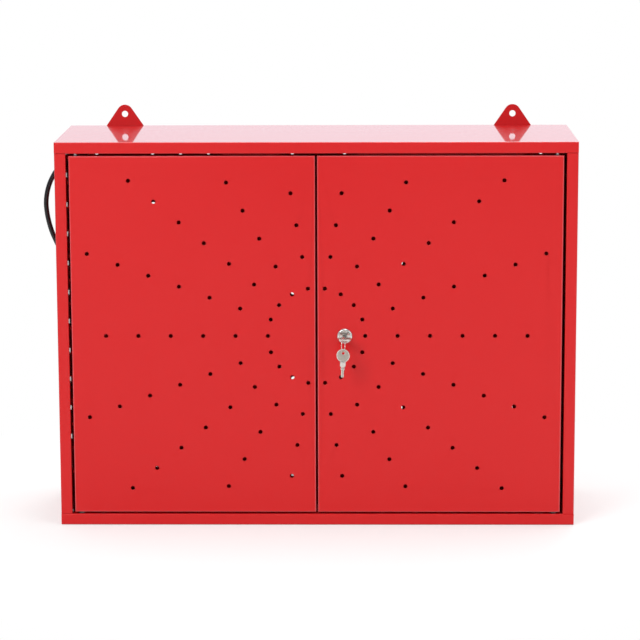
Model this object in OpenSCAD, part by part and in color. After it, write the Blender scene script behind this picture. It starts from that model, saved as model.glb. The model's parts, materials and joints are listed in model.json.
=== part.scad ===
// Steel wall cabinet for tools, with two perforated doors, a cam lock with its keys,
// a lamp bar under the roof and the lead that feeds it.
// The origin is the middle of the underside. The doors face -Y and +Z is up.

/* [Casing] */
// Width of the casing
case_w = 640; // [560:5:760]
// Height of the casing
case_h = 480; // [420:5:560]
// Depth of the casing, from the door faces to the wall
case_d = 200; // [180:5:260]
// Thickness of the casing's sheet
sheet_t = 1; // [0.8:0.1:1.4]
// Inside radius of every bend in the sheet
bend_r = 0.6; // [0.4:0.1:1]
// Width of the front flange round the doors
flange_w = 14; // [13:0.5:18]
// How far the back panel lies in front of the wall
back_recess = 13; // [10:0.5:18]

/* [Doors] */
// Depth of a door, from its face to the edge of its returns
door_d = 15; // [14:0.5:15.5]
// Thickness of the door sheet
door_t = 1; // [0.8:0.1:1.2]
// Gap above the doors
gap_top = 2.8; // [2:0.1:4]
// Gap under the doors
gap_bottom = 2.5; // [2:0.1:4]
// Gap beside each door
gap_side = 3.5; // [3.2:0.1:5]
// Gap between the two doors
gap_middle = 2.5; // [2:0.1:4]
// Width of the second return at the rear of a door
door_lip = 8; // [5:0.5:9]
// Height of the stop strips behind the doors
stop_h = 9; // [7:0.5:12]
// Thickness of the stop strips
stop_t = 1.5; // [1:0.1:2]
// Depth of the stop strips' feet
stop_foot_d = 8; // [5:0.5:11]
// Free length at each end of the stop strips, for the turning doors
stop_inset = 52; // [45:1:80]
// Play between a closed door and its stop
stop_play = 0.3; // [0.2:0.1:0.5]
// Distance from the middle to the upper stop strip of the right door
stop_start = 50; // [45:1:70]
// Distance from the middle to the upper stop tab of the left door
stop_tab_x = 80.5; // [70:0.5:90]
// Length of the upper stop tab
stop_tab_l = 69; // [40:1:72]

/* [Door holes] */
// Diameter of a hole in the doors
ray_hole = 5; // [3:0.5:7]
// Number of rays of holes round the middle of the doors
ray_count = 18; // [12:2:24]
// Distance from the middle to the first ring of holes
ray_start = 60; // [50:1:80]
// Distance between the rings of holes
ray_step = 40; // [30:1:60]
// Least distance from a hole's middle to the door's edge
ray_edge = 18; // [17:1:40]

/* [Wall holes] */
// Diameter of a hole in the back panel
back_hole = 6; // [4:0.5:8]
// Distance from the middle to the first column of holes
back_first_x = 33.6; // [20:0.1:45]
// Distance between the columns
back_pitch_x = 36.1; // [30:0.1:50]
// Height of the row nearest to mid height
back_first_z = 225.2; // [200:0.1:250]
// Distance between the rows
back_pitch_z = 38.4; // [30:0.1:50]
// Drop of the back panel's top row of holes below the roof
back_top_drop = 33.2; // [30:0.1:36]
// Least distance from a hole's middle to the panel's edge
back_edge = 20; // [14:1:60]
// Diameter of a hole in the side walls
side_hole = 5; // [3:0.5:7]
// Distance between the holes of the side walls
side_pitch = 31.5; // [26:0.5:45]
// Number of columns of holes in a side wall
side_columns = 5; // [3:1:5]
// Number of rows of holes in a side wall
side_rows = 13; // [8:1:13]

/* [Ears] */
// Distance between the holes of the two hanging ears
ear_spacing = 500; // [400:5:540]
// Thickness of an ear
ear_t = 2; // [1.5:0.1:3]
// Width of an ear at the roof
ear_w = 48; // [36:1:60]
// Height of an ear above the roof
ear_h = 27; // [24:0.5:34]
// Radius of an ear's round top
ear_top_r = 10.4; // [8.5:0.1:12]
// Diameter of an ear's hole
ear_hole = 8; // [5:0.5:9]
// Height of an ear's hole above the roof
ear_hole_z = 15; // [13:0.5:17]
// Depth of an ear's foot under the roof
ear_foot_d = 11; // [8:0.5:12]

/* [Hinges] */
// Diameter of a hinge pin
pin_d = 4; // [3:0.5:5]
// Diameter of a hinge pin's head
pin_head_d = 7; // [6:0.5:9]
// Height of a hinge pin's head
pin_head_h = 2; // [1:0.5:3]
// How far a hinge pin reaches into a door
pin_reach = 8; // [6:0.5:12]
// Distance from a door's outer edge to its pin
pin_inset_x = 8; // [7.5:0.5:9]
// Distance from a door's face to its pin
pin_inset_y = 6; // [5.5:0.1:6.5]
// Running clearance of a pin, on the radius
run_fit = 0.05; // [0.02:0.01:0.09]
// Diameter of a bush in a door
bush_d = 7.4; // [7:0.1:8.5]
// Diameter of a bush's collar
bush_collar_d = 9; // [8.6:0.1:10]
// Height of the rim that holds a bush inside its door
bush_rim_h = 1; // [0.6:0.1:1.5]
// How far a bush reaches into a door
bush_reach = 5; // [3:0.5:8]

/* [Door bolt] */
// Diameter of the bolt in the left door
bolt_d = 6; // [5:0.5:7]
// Distance from the middle of the cabinet to the bolt
bolt_x = 25; // [22:1:40]
// Length of the bolt
bolt_l = 60; // [56:1:72]
// Travel of the bolt
bolt_travel = 12; // [8:0.5:12]
// Height of a bolt guide
guide_h = 10; // [6:0.5:12]
// Width of a bolt guide
guide_w = 14; // [12:0.5:18]
// Distance from the door's lower edge to the lower guide
guide_low = 14; // [10:0.5:16]
// Free height between the guides
guide_gap = 22; // [20:0.5:26]
// Diameter of the bolt's grip
grip_d = 4; // [3:0.5:5]
// Length of the bolt's grip, from the bolt's middle
grip_l = 8; // [7:0.5:9]
// Diameter of the ball on the grip
grip_ball_d = 6; // [5:0.5:7]
// Play between the bolt and the rear face of the lower stop strip
bolt_play = 0.6; // [0.4:0.1:1]

/* [Lock] */
// Distance from the middle of the cabinet to the lock
lock_x = 34.8; // [30:0.1:45]
// Height of the lock above the underside
lock_z = 240; // [200:1:280]
// Diameter of the lock's rim
lock_rim_d = 18.6; // [18:0.1:22]
// How far the rim stands out of the door
lock_rim_h = 3; // [2:0.1:4]
// Diameter of the lock's body
lock_body_d = 16; // [15.5:0.1:17]
// Diameter of the turning plug
plug_d = 12.6; // [12:0.1:13]
// Side of the square end of the plug
plug_square = 7; // [6:0.1:8]
// Width of the lock's nut across its flats
nut_af = 22; // [20:0.5:24]
// Height of the lock's nut
nut_h = 3.5; // [3:0.1:5]
// Length of the cam from the plug's middle
cam_l = 46; // [44:0.5:52]
// Width of the cam
cam_w = 14; // [12:0.5:16]
// Thickness of the cam
cam_t = 2; // [1.5:0.1:2.5]
// Play between the closed doors' rear edges and the cam
cam_play = 0.5; // [0.3:0.1:1]
// Diameter of the cam screw's head
cam_screw_d = 9; // [8.5:0.5:11]

/* [Keys] */
// Diameter of a key's bow
bow_d = 16.6; // [15:0.1:20]
// Thickness of a key
key_t = 1.6; // [1.4:0.1:1.8]
// Width of a key's neck
neck_w = 7; // [6:0.1:7.4]
// Length of a key's neck, from the bow to the stop
neck_l = 9.1; // [8:0.1:10.5]
// Length of the slope where the neck narrows to the blade
neck_slope_l = 2; // [1:0.1:3]
// Width of the stop that ends a key's neck
key_stop_w = 5.4; // [4.8:0.1:6]
// Length of the stop that ends a key's neck
key_stop_l = 1.6; // [1:0.1:2]
// Width of a key's blade
blade_w = 3.5; // [3:0.1:4.5]
// Length of a key's blade
blade_l = 10; // [9:0.5:12]
// Distance from the middle of the bow to its hole
bow_hole_x = 3.2; // [2.5:0.1:4]
// Diameter of the hole in a key's bow
bow_hole_d = 3.9; // [3.7:0.1:4.2]
// Radius of the key ring, to the middle of its wire
ring_r = 9; // [8.5:0.5:11]
// Diameter of the ring's wire
ring_wire = 1.3; // [1.1:0.1:1.4]
// Lean of the ring's wire where it passes the fitted key, in degrees
ring_lean = 38; // [30:1:40]
// Turn of the ring away from the line of sight, in degrees
ring_yaw = 13; // [5:1:25]
// Lean of the hanging key, in degrees
spare_lean = 2; // [0:0.5:4]

/* [Lamp] */
// Length of the lamp bar
lamp_l = 500; // [400:5:520]
// Depth of the lamp bar
lamp_d = 30; // [28:0.5:36]
// Height of the lamp bar
lamp_h = 20; // [19:0.5:24]
// Thickness of the lamp's housing
lamp_wall = 1.5; // [1.2:0.1:2]
// Distance from the door faces to the lamp's middle
lamp_y = 95; // [85:1:100]
// Thickness of the lamp's brackets
bracket_t = 2; // [1.5:0.1:3]
// Width of the lamp's brackets
bracket_w = 20; // [15:0.5:30]
// Diameter of the lamp's screws
lamp_screw_d = 4; // [3:0.5:5]
// Height of a lamp screw's head
lamp_screw_head_h = 2; // [1.5:0.1:2.5]
// Length of an end cap
cap_l = 4; // [3:0.5:6]
// Height of the diffuser
diffuser_h = 3; // [2:0.1:4]
// Height of the circuit board above the diffuser
board_rise = 3; // [2:0.5:6]
// Thickness of the circuit board
board_t = 1.2; // [0.8:0.1:1.6]
// Distance between two light chips
chip_pitch = 16; // [12:0.5:30]
// Side of a light chip
chip_w = 3; // [2:0.1:4]
// Height of a light chip
chip_h = 0.8; // [0.5:0.1:1.2]
// Length of the driver in the lamp
driver_l = 66; // [50:1:90]
// Width of the driver in the lamp
driver_w = 20; // [15:0.5:22]
// Width of the rocker
rocker_w = 16; // [12:0.5:20]
// Height of the rocker
rocker_h = 12; // [10:0.5:12]
// Distance from the lamp's right end to the rocker
rocker_x = 35; // [25:1:60]
// Turn of the rocker, in degrees
rocker_turn = 14; // [8:1:16]

/* [Lead] */
// Diameter of the lead
lead_d = 6.3; // [5:0.1:7]
// Distance from the door faces to the lead's outlet
outlet_y = 170; // [165:0.5:172]
// Distance from the roof down to the lead's outlet
outlet_drop = 35; // [32:0.5:40]
// Angle of the strain relief under the horizontal, in degrees
relief_slant = 50; // [45:1:55]
// Length of the strain relief outside the wall
relief_l = 20; // [20:0.5:24]
// Diameter of the strain relief at the wall
relief_base_d = 11; // [10:0.1:13]
// Diameter of the strain relief at its tip
relief_tip_d = 7.4; // [7:0.1:8]
// Diameter of the outlet's flange
relief_flange_d = 16; // [14:0.5:20]
// Thickness of the outlet's flange
relief_flange_h = 2.5; // [2:0.1:4]
// Diameter of the outlet's thread
relief_thread_d = 10; // [9:0.1:11]
// Length of the outlet's thread inside the wall
relief_thread_l = 10; // [8:0.5:12]
// Width of the outlet's nut across its flats
relief_nut_af = 14; // [13:0.5:17]
// Height of the outlet's nut
relief_nut_h = 4; // [3:0.5:5]
// Radius of the coil's outer turn
coil_r = 46; // [44:0.5:48]
// Distance between two turns of the coil
coil_pitch = 6.9; // [6.8:0.05:7.2]
// Height of the coil's lower layer
coil_z = 4; // [4:0.1:5]
// Distance from the roof's underside to the middle of the clipped lead
clip_drop = 8; // [6:0.5:12]
// Width of a lead clip
clip_w = 12; // [10:0.5:16]
// Length of a lead clip along the lead
clip_l = 8; // [5:0.5:12]
// Thickness of a lead clip under the lead
clip_t = 2; // [1:0.5:3]
// Width of the tie round the coil
tie_w = 8; // [5:0.5:14]
// Thickness of the tie
tie_t = 0.7; // [0.4:0.1:0.8]
// Diameter of the plug's body
plug_body_d = 38; // [36:0.5:42]
// Height of the plug's body
plug_body_h = 24; // [20:0.5:28]
// Width of the plug's body across its grips
plug_grip_w = 34; // [30:0.5:36]
// Length of the plug's own strain relief
plug_sleeve_l = 22; // [20:0.5:30]
// Diameter of a contact pin
contact_d = 4.8; // [4:0.1:4.8]
// Length of a contact pin
contact_l = 19; // [15:0.5:19]
// Distance between the contact pins
contact_gap = 19; // [17:0.5:19]

/* [Hidden] */

paint = "#e02d2d";
steel = "#b8bcc0";
chrome = "#d8dade";
black = "#1b1b1d";
white = "#f2f2ee";

cut = 1;
touch = 0.3;
bend_out = bend_r + sheet_t;
half_w = case_w / 2;
front_y = -case_d / 2;
rear_y = case_d / 2;
open_w = half_w - flange_w;
lip_d = door_d + stop_play;
open_top = case_h - flange_w;
open_bottom = flange_w;

door_top = open_top - gap_top;
door_bottom = open_bottom + gap_bottom;
door_outer = open_w - gap_side;
door_inner = gap_middle / 2;
door_w = door_outer - door_inner;
door_h = door_top - door_bottom;
door_mid_x = (door_outer + door_inner) / 2;
door_mid_z = (door_top + door_bottom) / 2;
door_rear_y = front_y + door_d;
stop_y = door_rear_y + stop_play;

pin_x = door_outer - pin_inset_x;
pin_y = front_y + pin_inset_y;

back_y = rear_y - back_recess - sheet_t;

guide_z = door_bottom + guide_low;
bolt_y = stop_y + stop_t + bolt_play + bolt_d / 2;
bolt_z = open_bottom + stop_h + bolt_play;
bolt_bore = bolt_d + 2 * run_fit;
grip_z = guide_z + guide_h + (guide_gap + bolt_travel) / 2;

cam_y = door_rear_y + cam_play;
face_y = front_y - lock_rim_h;
key_y = face_y - touch;
bow_y = key_y - neck_l - bow_d / 2;
ring_hole_y = bow_y - bow_hole_x;
ring_reach = ring_r * cos(ring_lean);
ring_drop = ring_r * sin(ring_lean);
ring_dir = [-sin(ring_yaw), -cos(ring_yaw), 0];
ring_pos = [lock_x, ring_hole_y, lock_z] + ring_reach * ring_dir - [0, 0, ring_drop];
spare_play = 0.3;
plug_sunk = 0.4;
slot_play = 0.2;
slot_deep = 1;
rim_edge = 1;
nut_fit = 0.1;
cam_screw_h = 2.6;
driver_slot_w = 1;
driver_slot_h = 1.2;
spare_drop = ring_r + (bow_hole_d - ring_wire) / 2 - spare_play;

lamp_mid_y = front_y + lamp_y;
lamp_top = case_h - sheet_t - bracket_t;
lamp_bottom = lamp_top - lamp_h;
board_w = lamp_d - 2 * lamp_wall;
board_z = lamp_bottom + diffuser_h + board_rise;
rocker_mid_x = lamp_l / 2 - rocker_x;
rocker_mid_z = (lamp_top + lamp_bottom) / 2;
rocker_play = 0.8;
rocker_depth = 8;
rocker_back = 2;
rocker_hub_d = 6;
rocker_room = 17;
driver_play = 2;
rocker_pivot_y = lamp_mid_y - lamp_d / 2 + rocker_depth / 2;

outlet = [-half_w, front_y + outlet_y, case_h - outlet_drop];
relief_dir = [-cos(relief_slant), 0, -sin(relief_slant)];
relief_tip = outlet + relief_l * relief_dir;
lead_start = relief_tip + lead_d * relief_dir;

// Route of the hanging lead. X is counted from the left wall and Y from the middle.
// Z is counted from the outlet beside the wall's upper part, and from the floor lower down.
hang_high = [[-20.3, 70, -25], [-25.8, 70, -36], [-29.4, 70, -48], [-31, 70, -61], [-30.2, 70, -74],
    [-27.8, 70, -87], [-24, 70, -100], [-19, 70, -112], [-14.6, 70, -122], [-11, 70, -133],
    [-8, 70, -146], [-6, 70, -162], [-5, 71, -180], [-4.5, 72, -205]];
hang_low = [[-4.5, 78, 85], [-4.5, 79, 62], [-4.5, 80, 46], [-4.5, 84, 28],
    [-4, 92, 15], [-4, 104, 7], [-4, 118, 4], [-4, 134, 4]];
hang_top = [for (p = hang_high) [p.x - half_w, p.y, p.z + outlet.z]];
hang_foot = [for (p = hang_low) [p.x - half_w, p.y, p.z]];
hang_mid_count = 3;
hang_mid = [for (i = [1:hang_mid_count])
    mix(hang_top[len(hang_top) - 1], hang_foot[0], i / (hang_mid_count + 1))];
coil_start = [-half_w - 4, 158, coil_z];
lead_end = coil_start - [0, lead_d, 0];
hang_points = concat([relief_tip, lead_start], hang_top, hang_mid, hang_foot,
    [lead_end - [0, lead_d, 0], lead_end]);

// Route of the lead from its outlet to the lamp, under the roof. X is a share of the way to
// the run under the roof, Y is counted from the outlet and Z is a share of the rise.
inner_start = outlet + [sheet_t + relief_thread_l + touch, 0, 0];
inner_end = [-lamp_l / 2 - cap_l - touch, lamp_mid_y, (lamp_top + lamp_bottom) / 2];
roof_run = [mix(inner_start.x, inner_end.x, 0.25), 0, case_h - sheet_t - clip_drop];
rise = [[0.45, -1, 0], [0.8, -6, 0.03], [0.95, -14, 0.14], [1, -24, 0.4], [1, -33, 0.7],
    [1, -41, 0.94], [1, -48, 1], [1, -58, 1]];
rise_points = [for (p = rise) [mix(inner_start.x, roof_run.x, p.x), inner_start.y + p.y,
    mix(inner_start.z, roof_run.z, p.z)]];
fall = [[0.06, 9, 0.95], [0.24, 3, 0.7], [0.5, 0.5, 0.25], [0.8, 0, 0]];
fall_points = [for (p = fall) [mix(roof_run.x, inner_end.x, p.x), inner_end.y + p.y,
    mix(inner_end.z, roof_run.z, p.z)]];
clip_places = [-53];

coil_turns = 5 + 1 / 3;
tie_gap = 0.08;
tie_turn = 50;
plug_edge = 2;
plug_sleeve_d = [lead_d + 2, lead_d + 5.5];
earth_t = 0.8;
earth_w = 6;
coil_rings = 24;
coil_mid = coil_start + [coil_r, 0, 0];
coil_turn_deg = 360 * coil_turns;
coil_half = coil_turn_deg / 2;
coil_least_r = coil_r - coil_pitch * coil_turns / 2;
coil_end_angle = 180 - coil_turn_deg;
coil_end_dir = [sin(coil_end_angle), -cos(coil_end_angle), 0];

function unit(v) = v / norm(v);
function mix(a, b, t) = a + (b - a) * t;
function ease(t) = t <= 0 ? 0 : t >= 1 ? 1 : t * t * (3 - 2 * t);

// A point of the smooth curve through four points, between the middle two.
function smooth_point(a, b, c, d, t) = 0.5 * (2 * b + (c - a) * t
    + (2 * a - 5 * b + 4 * c - d) * t * t + (3 * b - a - 3 * c + d) * t * t * t);
function smooth_path(p, n) = let (last = len(p) - 1) concat(
    [for (i = [0:last - 1], k = [0:n - 1])
        smooth_point(p[max(i - 1, 0)], p[i], p[i + 1], p[min(i + 2, last)], k / n)],
    [p[last]]);
function path_length(p) = let (last = len(p) - 1)
    [for (i = 0, s = 0; i <= last; s = i < last ? s + norm(p[i + 1] - p[i]) : s, i = i + 1) s][last];

// A closed tube round a path. The rings' corners are counted from the side vector.
function heading(p, i) = unit(p[min(i + 1, len(p) - 1)] - p[max(i - 1, 0)]);
function tube_points(p, r, n, side) = [for (i = [0:len(p) - 1])
    let (h = heading(p, i), a = unit(cross(side, h)), b = cross(h, a))
        for (k = [0:n - 1]) p[i] + r * (a * cos(360 * k / n) + b * sin(360 * k / n))];
function tube_faces(rings, n) = concat(
    [[for (k = [0:n - 1]) n - 1 - k]],
    [[for (k = [0:n - 1]) (rings - 1) * n + k]],
    [for (i = [0:rings - 2], k = [0:n - 1]) let (q = (k + 1) % n)
        each [[i * n + k, i * n + q, (i + 1) * n + q], [i * n + k, (i + 1) * n + q, (i + 1) * n + k]]]);
module tube(p, r, n, side) {
    polyhedron(tube_points(p, r, n, side), tube_faces(len(p), n), convexity = 10);
}

// The coil winds in on the floor, climbs while it reverses, and winds out again on top.
function coil_radius(deg) = coil_least_r + coil_pitch * abs(deg - coil_half) / 360;
function coil_height(deg) = coil_z + coil_pitch * ease((deg - coil_half + 90) / 180);
function coil_point(deg) = [coil_mid.x + coil_radius(deg) * cos(180 - deg),
    coil_mid.y + coil_radius(deg) * sin(180 - deg), coil_height(deg)];
coil_steps = round(coil_turns * coil_rings);
coil_turning = [for (i = [0:coil_steps]) coil_point(coil_turn_deg * i / coil_steps)];
coil_end = coil_turning[coil_steps] + lead_d * coil_end_dir;
coil_path = concat([lead_end], coil_turning, [coil_end]);
hang_path = smooth_path(hang_points, 2);
inner_path = smooth_path(concat([inner_start], rise_points, fall_points, [inner_end]), 2);
coil_gap = min([for (i = [0:coil_steps - 12], j = [i + 12:coil_steps])
    norm(coil_turning[i] - coil_turning[j])]) - lead_d;
echo(lead_length = path_length(hang_path) + path_length(coil_path));
echo(free_length = path_length(hang_path), coil_gap = coil_gap);

// Sheet folded at right angles along a path of corners, as a flat outline.
module folded(path, t) {
    last = len(path) - 1;
    mid_r = bend_r + t / 2;
    for (i = [0:last - 1]) {
        u = unit(path[i + 1] - path[i]);
        a = path[i] + (i == 0 ? 0 : mid_r) * u;
        b = path[i + 1] - (i == last - 1 ? 0 : mid_r) * u;
        across = [abs(u.y), abs(u.x)] * t / 2;
        low = [min(a.x, b.x), min(a.y, b.y)] - across;
        translate(low) square([abs(b.x - a.x), abs(b.y - a.y)] + 2 * across);
    }
    for (i = [1:last - 1]) {
        u = unit(path[i] - path[i - 1]);
        v = unit(path[i + 1] - path[i]);
        w = (u - v) * (mid_r + t);
        translate(path[i] - u * mid_r + v * mid_r) intersection() {
            difference() {
                circle(r = bend_r + t, $fn = 32);
                circle(r = bend_r, $fn = 32);
            }
            translate([min(w.x, 0), min(w.y, 0)]) square([abs(w.x), abs(w.y)]);
        }
    }
}
module along_x(length) {
    translate([-length / 2, 0, 0]) rotate([90, 0, 90]) linear_extrude(length) children();
}

// A block whose face at y = 0 has round edges, open for a pan's inside or its outside.
module face_outline(w, d, r) {
    translate([-w / 2, r]) square([w, d - r]);
    translate([-w / 2 + r, 0]) square([w - 2 * r, d]);
    for (s = [-1, 1]) translate([s * (w / 2 - r), r]) circle(r = r, $fn = 32);
}
module round_block(w, h, d, r) {
    intersection() {
        translate([0, 0, -h / 2]) linear_extrude(h) face_outline(w, d, r);
        translate([-w / 2, 0, 0]) rotate([90, 0, 90]) linear_extrude(w)
            mirror([1, -1]) face_outline(h, d, r);
    }
}
module pan(w, h, d, t) {
    difference() {
        round_block(w, h, d, bend_r + t);
        translate([0, t, 0]) round_block(w - 2 * t, h - 2 * t, d, bend_r);
    }
}

module lipped_sheet() {
    edge = sheet_t / 2;
    difference() {
        along_x(case_w) folded([[rear_y, -edge], [front_y + edge, -edge],
            [front_y + edge, edge - flange_w], [front_y + lip_d, edge - flange_w]], sheet_t);
        for (s = [-1, 1]) translate([s * half_w, front_y + bend_out, 0])
            translate([-flange_w, 0, -flange_w - cut]) cube([2 * flange_w, lip_d, flange_w]);
        for (s = [-1, 1]) translate([s * pin_x, pin_y, -flange_w - cut])
            cylinder(d = pin_d + 2 * run_fit, h = sheet_t + 2 * cut, $fn = 32);
    }
}
module top_panel() {
    color(paint) translate([0, 0, case_h]) difference() {
        lipped_sheet();
        for (s = [-1, 1]) translate([s * ear_spacing / 2, rear_y, 0])
            translate([-ear_w / 2 - touch, -ear_t - touch, -sheet_t - cut])
                cube([ear_w + 2 * touch, ear_t + touch + cut, sheet_t + 2 * cut]);
    }
}
module bottom_panel() {
    color(paint) mirror([0, 0, 1]) lipped_sheet();
}

function side_hole_y(i) = outlet.y - side_pitch * i;
module side_sheet() {
    edge = sheet_t / 2;
    difference() {
        translate([0, 0, sheet_t]) linear_extrude(case_h - 2 * sheet_t)
            folded([[half_w - edge, rear_y], [half_w - edge, front_y + edge],
                [open_w + edge, front_y + edge], [open_w + edge, front_y + lip_d]], sheet_t);
        for (z = [-cut, open_top]) translate([open_w - cut, front_y - cut, z])
            cube([flange_w + 2 * cut, bend_out + cut, flange_w + cut]);
        for (z = [-cut, open_top]) translate([open_w - cut, front_y - cut, z])
            cube([flange_w + cut - bend_out, lip_d + 2 * cut, flange_w + cut]);
        for (i = [0:side_columns - 1], k = [0:side_rows])
            translate([half_w - sheet_t - cut, side_hole_y(i), outlet.z - side_pitch * k])
                rotate([0, 90, 0]) cylinder(d = side_hole, h = sheet_t + 2 * cut, $fn = 16);
    }
}
module right_side_panel() {
    color(paint) side_sheet();
}
module left_side_panel() {
    color(paint) difference() {
        mirror([1, 0, 0]) side_sheet();
        translate([outlet.x - cut, outlet.y, outlet.z]) rotate([0, 90, 0])
            cylinder(d = relief_thread_d + touch, h = sheet_t + 2 * cut, $fn = 32);
    }
}

back_columns = floor((half_w - back_edge - back_first_x) / back_pitch_x);
back_rows_down = floor((back_first_z - back_edge) / back_pitch_z);
back_top_z = case_h - back_top_drop;
back_rows_up = ceil((back_top_z - back_first_z) / back_pitch_z) - 1;
back_rows = concat([for (k = [-back_rows_down:back_rows_up]) back_first_z + back_pitch_z * k], [back_top_z]);
// The top row has no holes where the ears are welded.
module back_panel() {
    color(paint) difference() {
        translate([0, back_y, case_h / 2])
            pan(case_w - 2 * sheet_t, case_h - 2 * sheet_t, sheet_t + back_recess, sheet_t);
        for (s = [-1, 1], i = [0:back_columns], z = back_rows)
            let (x = back_first_x + back_pitch_x * i)
            if (z < back_top_z || abs(x - ear_spacing / 2) > ear_w / 2) translate([s * x, back_y - cut, z])
                rotate([-90, 0, 0]) cylinder(d = back_hole, h = sheet_t + 2 * cut, $fn = 16);
        for (s = [-1, 1]) translate([s * ear_spacing / 2, rear_y, case_h - 2 * sheet_t])
            translate([-ear_w / 2 - touch, -ear_t - touch, -cut])
                cube([ear_w + 2 * touch, ear_t + touch + cut, sheet_t + 2 * cut]);
    }
}

// An ear's sloping sides touch its round top.
ear_top_z = ear_h - ear_top_r;
ear_side = norm([ear_w / 2, ear_top_z]);
ear_turn = atan2(ear_top_z, ear_w / 2) + asin(ear_top_r / ear_side);
ear_touch = [ear_top_r * sin(ear_turn), ear_top_z + ear_top_r * cos(ear_turn)];
module ear() {
    under = 2 * sheet_t + ear_t;
    difference() {
        rotate([90, 0, 0]) linear_extrude(ear_t) {
            polygon([[-ear_w / 2, 0], [ear_w / 2, 0], ear_touch, [-ear_touch.x, ear_touch.y]]);
            translate([0, ear_top_z]) circle(r = ear_top_r, $fn = 64);
            translate([-ear_w / 2, -under]) square([ear_w, under]);
        }
        translate([0, cut, ear_hole_z]) rotate([90, 0, 0])
            cylinder(d = ear_hole, h = ear_t + 2 * cut, $fn = 32);
    }
    translate([-ear_w / 2, -ear_foot_d, -under]) cube([ear_w, ear_foot_d, ear_t]);
}
module hanging_ears() {
    color(paint) for (s = [-1, 1]) translate([s * ear_spacing / 2, rear_y, case_h]) ear();
}

// A stop strip is an angle. Its foot lies on the lip's hidden side, its web hangs behind the lip.
module stop_strip(from, to) {
    translate([(from + to) / 2, 0, 0]) along_x(to - from) {
        translate([stop_y, -stop_h]) square([stop_t, stop_h + sheet_t + stop_t]);
        translate([stop_y - stop_foot_d, sheet_t]) square([stop_foot_d, stop_t]);
    }
}
module top_door_stop() {
    color(paint) translate([0, 0, open_top]) {
        stop_strip(-stop_tab_x - stop_tab_l / 2, -stop_tab_x + stop_tab_l / 2);
        stop_strip(stop_start, open_w - stop_inset);
    }
}
module bottom_door_stop() {
    color(paint) translate([0, 0, open_bottom]) mirror([0, 0, 1])
        stop_strip(stop_inset - open_w, open_w - stop_inset);
}

module hinge_pin(gap) {
    translate([0, 0, sheet_t]) cylinder(d = pin_head_d, h = pin_head_h, $fn = 32);
    translate([0, 0, -gap - pin_reach]) cylinder(d = pin_d, h = gap + pin_reach + sheet_t, $fn = 32);
}
module hinge_pins() {
    color(steel) for (s = [-1, 1]) {
        translate([s * pin_x, pin_y, open_top]) hinge_pin(gap_top);
        translate([s * pin_x, pin_y, open_bottom]) mirror([0, 0, 1]) hinge_pin(gap_bottom);
    }
}

// The rays of holes spread over both doors from one middle. A ray keeps off the doors' edges.
function ray_holes(side) = [for (i = [0:ray_count - 1], k = [0:20])
    let (a = 360 * i / ray_count, r = ray_start + ray_step * k, x = side * r * cos(a), z = r * sin(a))
        if (x > door_inner + ray_edge / 2 && x < door_outer - ray_edge && abs(z) < door_h / 2 - ray_edge)
            [x, z]];
module door(side) {
    difference() {
        translate([door_mid_x, front_y, door_mid_z]) {
            pan(door_w, door_h, door_d, door_t);
            for (s = [-1, 1]) translate([s * (door_w - door_lip) / 2, door_d - door_t / 2, 0])
                cube([door_lip, door_t, door_h - 2 * door_t], center = true);
        }
        for (p = ray_holes(side)) translate([p.x, front_y - cut, case_h / 2 + p.y])
            rotate([-90, 0, 0]) cylinder(d = ray_hole, h = door_t + 2 * cut, $fn = 24);
        for (z = [door_bottom - cut, door_top - door_t - cut]) translate([pin_x, pin_y, z])
            cylinder(d = bush_d + 2 * run_fit, h = door_t + 2 * cut, $fn = 32);
    }
}
module right_door() {
    color(paint) difference() {
        door(1);
        translate([lock_x, front_y - cut, lock_z]) rotate([-90, 0, 0])
            cylinder(d = lock_body_d + touch, h = door_t + 2 * cut, $fn = 32);
    }
}
module left_door() {
    color(paint) mirror([1, 0, 0]) door(-1);
}
// A bush sits in the door's return. The lower one has a collar that carries the door on the lip.
module bush(collar_h) {
    difference() {
        union() {
            cylinder(d = bush_d, h = bush_reach, $fn = 32);
            translate([0, 0, -collar_h]) cylinder(d = bush_collar_d, h = collar_h, $fn = 32);
            translate([0, 0, door_t]) cylinder(d = bush_collar_d, h = bush_rim_h, $fn = 32);
        }
        translate([0, 0, -collar_h - cut])
            cylinder(d = pin_d + 2 * run_fit, h = bush_reach + collar_h + 2 * cut, $fn = 32);
    }
}
module door_bushes(s) {
    color(white) {
        translate([s * pin_x, pin_y, door_bottom]) bush(gap_bottom - touch);
        translate([s * pin_x, pin_y, door_top]) mirror([0, 0, 1]) bush(touch);
    }
}
module left_door_bushes() { door_bushes(-1); }
module right_door_bushes() { door_bushes(1); }

// The bolt goes down behind the lower stop strip, so it stands behind the door's rim in deep guides.
module bolt_guides() {
    sheet_rear = front_y + door_t;
    color(steel) for (z = [guide_z, guide_z + guide_h + guide_gap]) difference() {
        translate([-bolt_x - guide_w / 2, sheet_rear, z])
            cube([guide_w, bolt_y + guide_w / 2 - sheet_rear, guide_h]);
        translate([-bolt_x, bolt_y, z - cut]) cylinder(d = bolt_bore, h = guide_h + 2 * cut, $fn = 32);
    }
}
module door_bolt() {
    color(steel) translate([-bolt_x, bolt_y, 0]) {
        translate([0, 0, bolt_z]) cylinder(d = bolt_d, h = bolt_l, $fn = 32);
        translate([0, 0, grip_z]) rotate([-90, 0, 0]) cylinder(d = grip_d, h = grip_l, $fn = 32);
        translate([0, grip_l, grip_z]) sphere(d = grip_ball_d, $fn = 32);
    }
}

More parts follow.
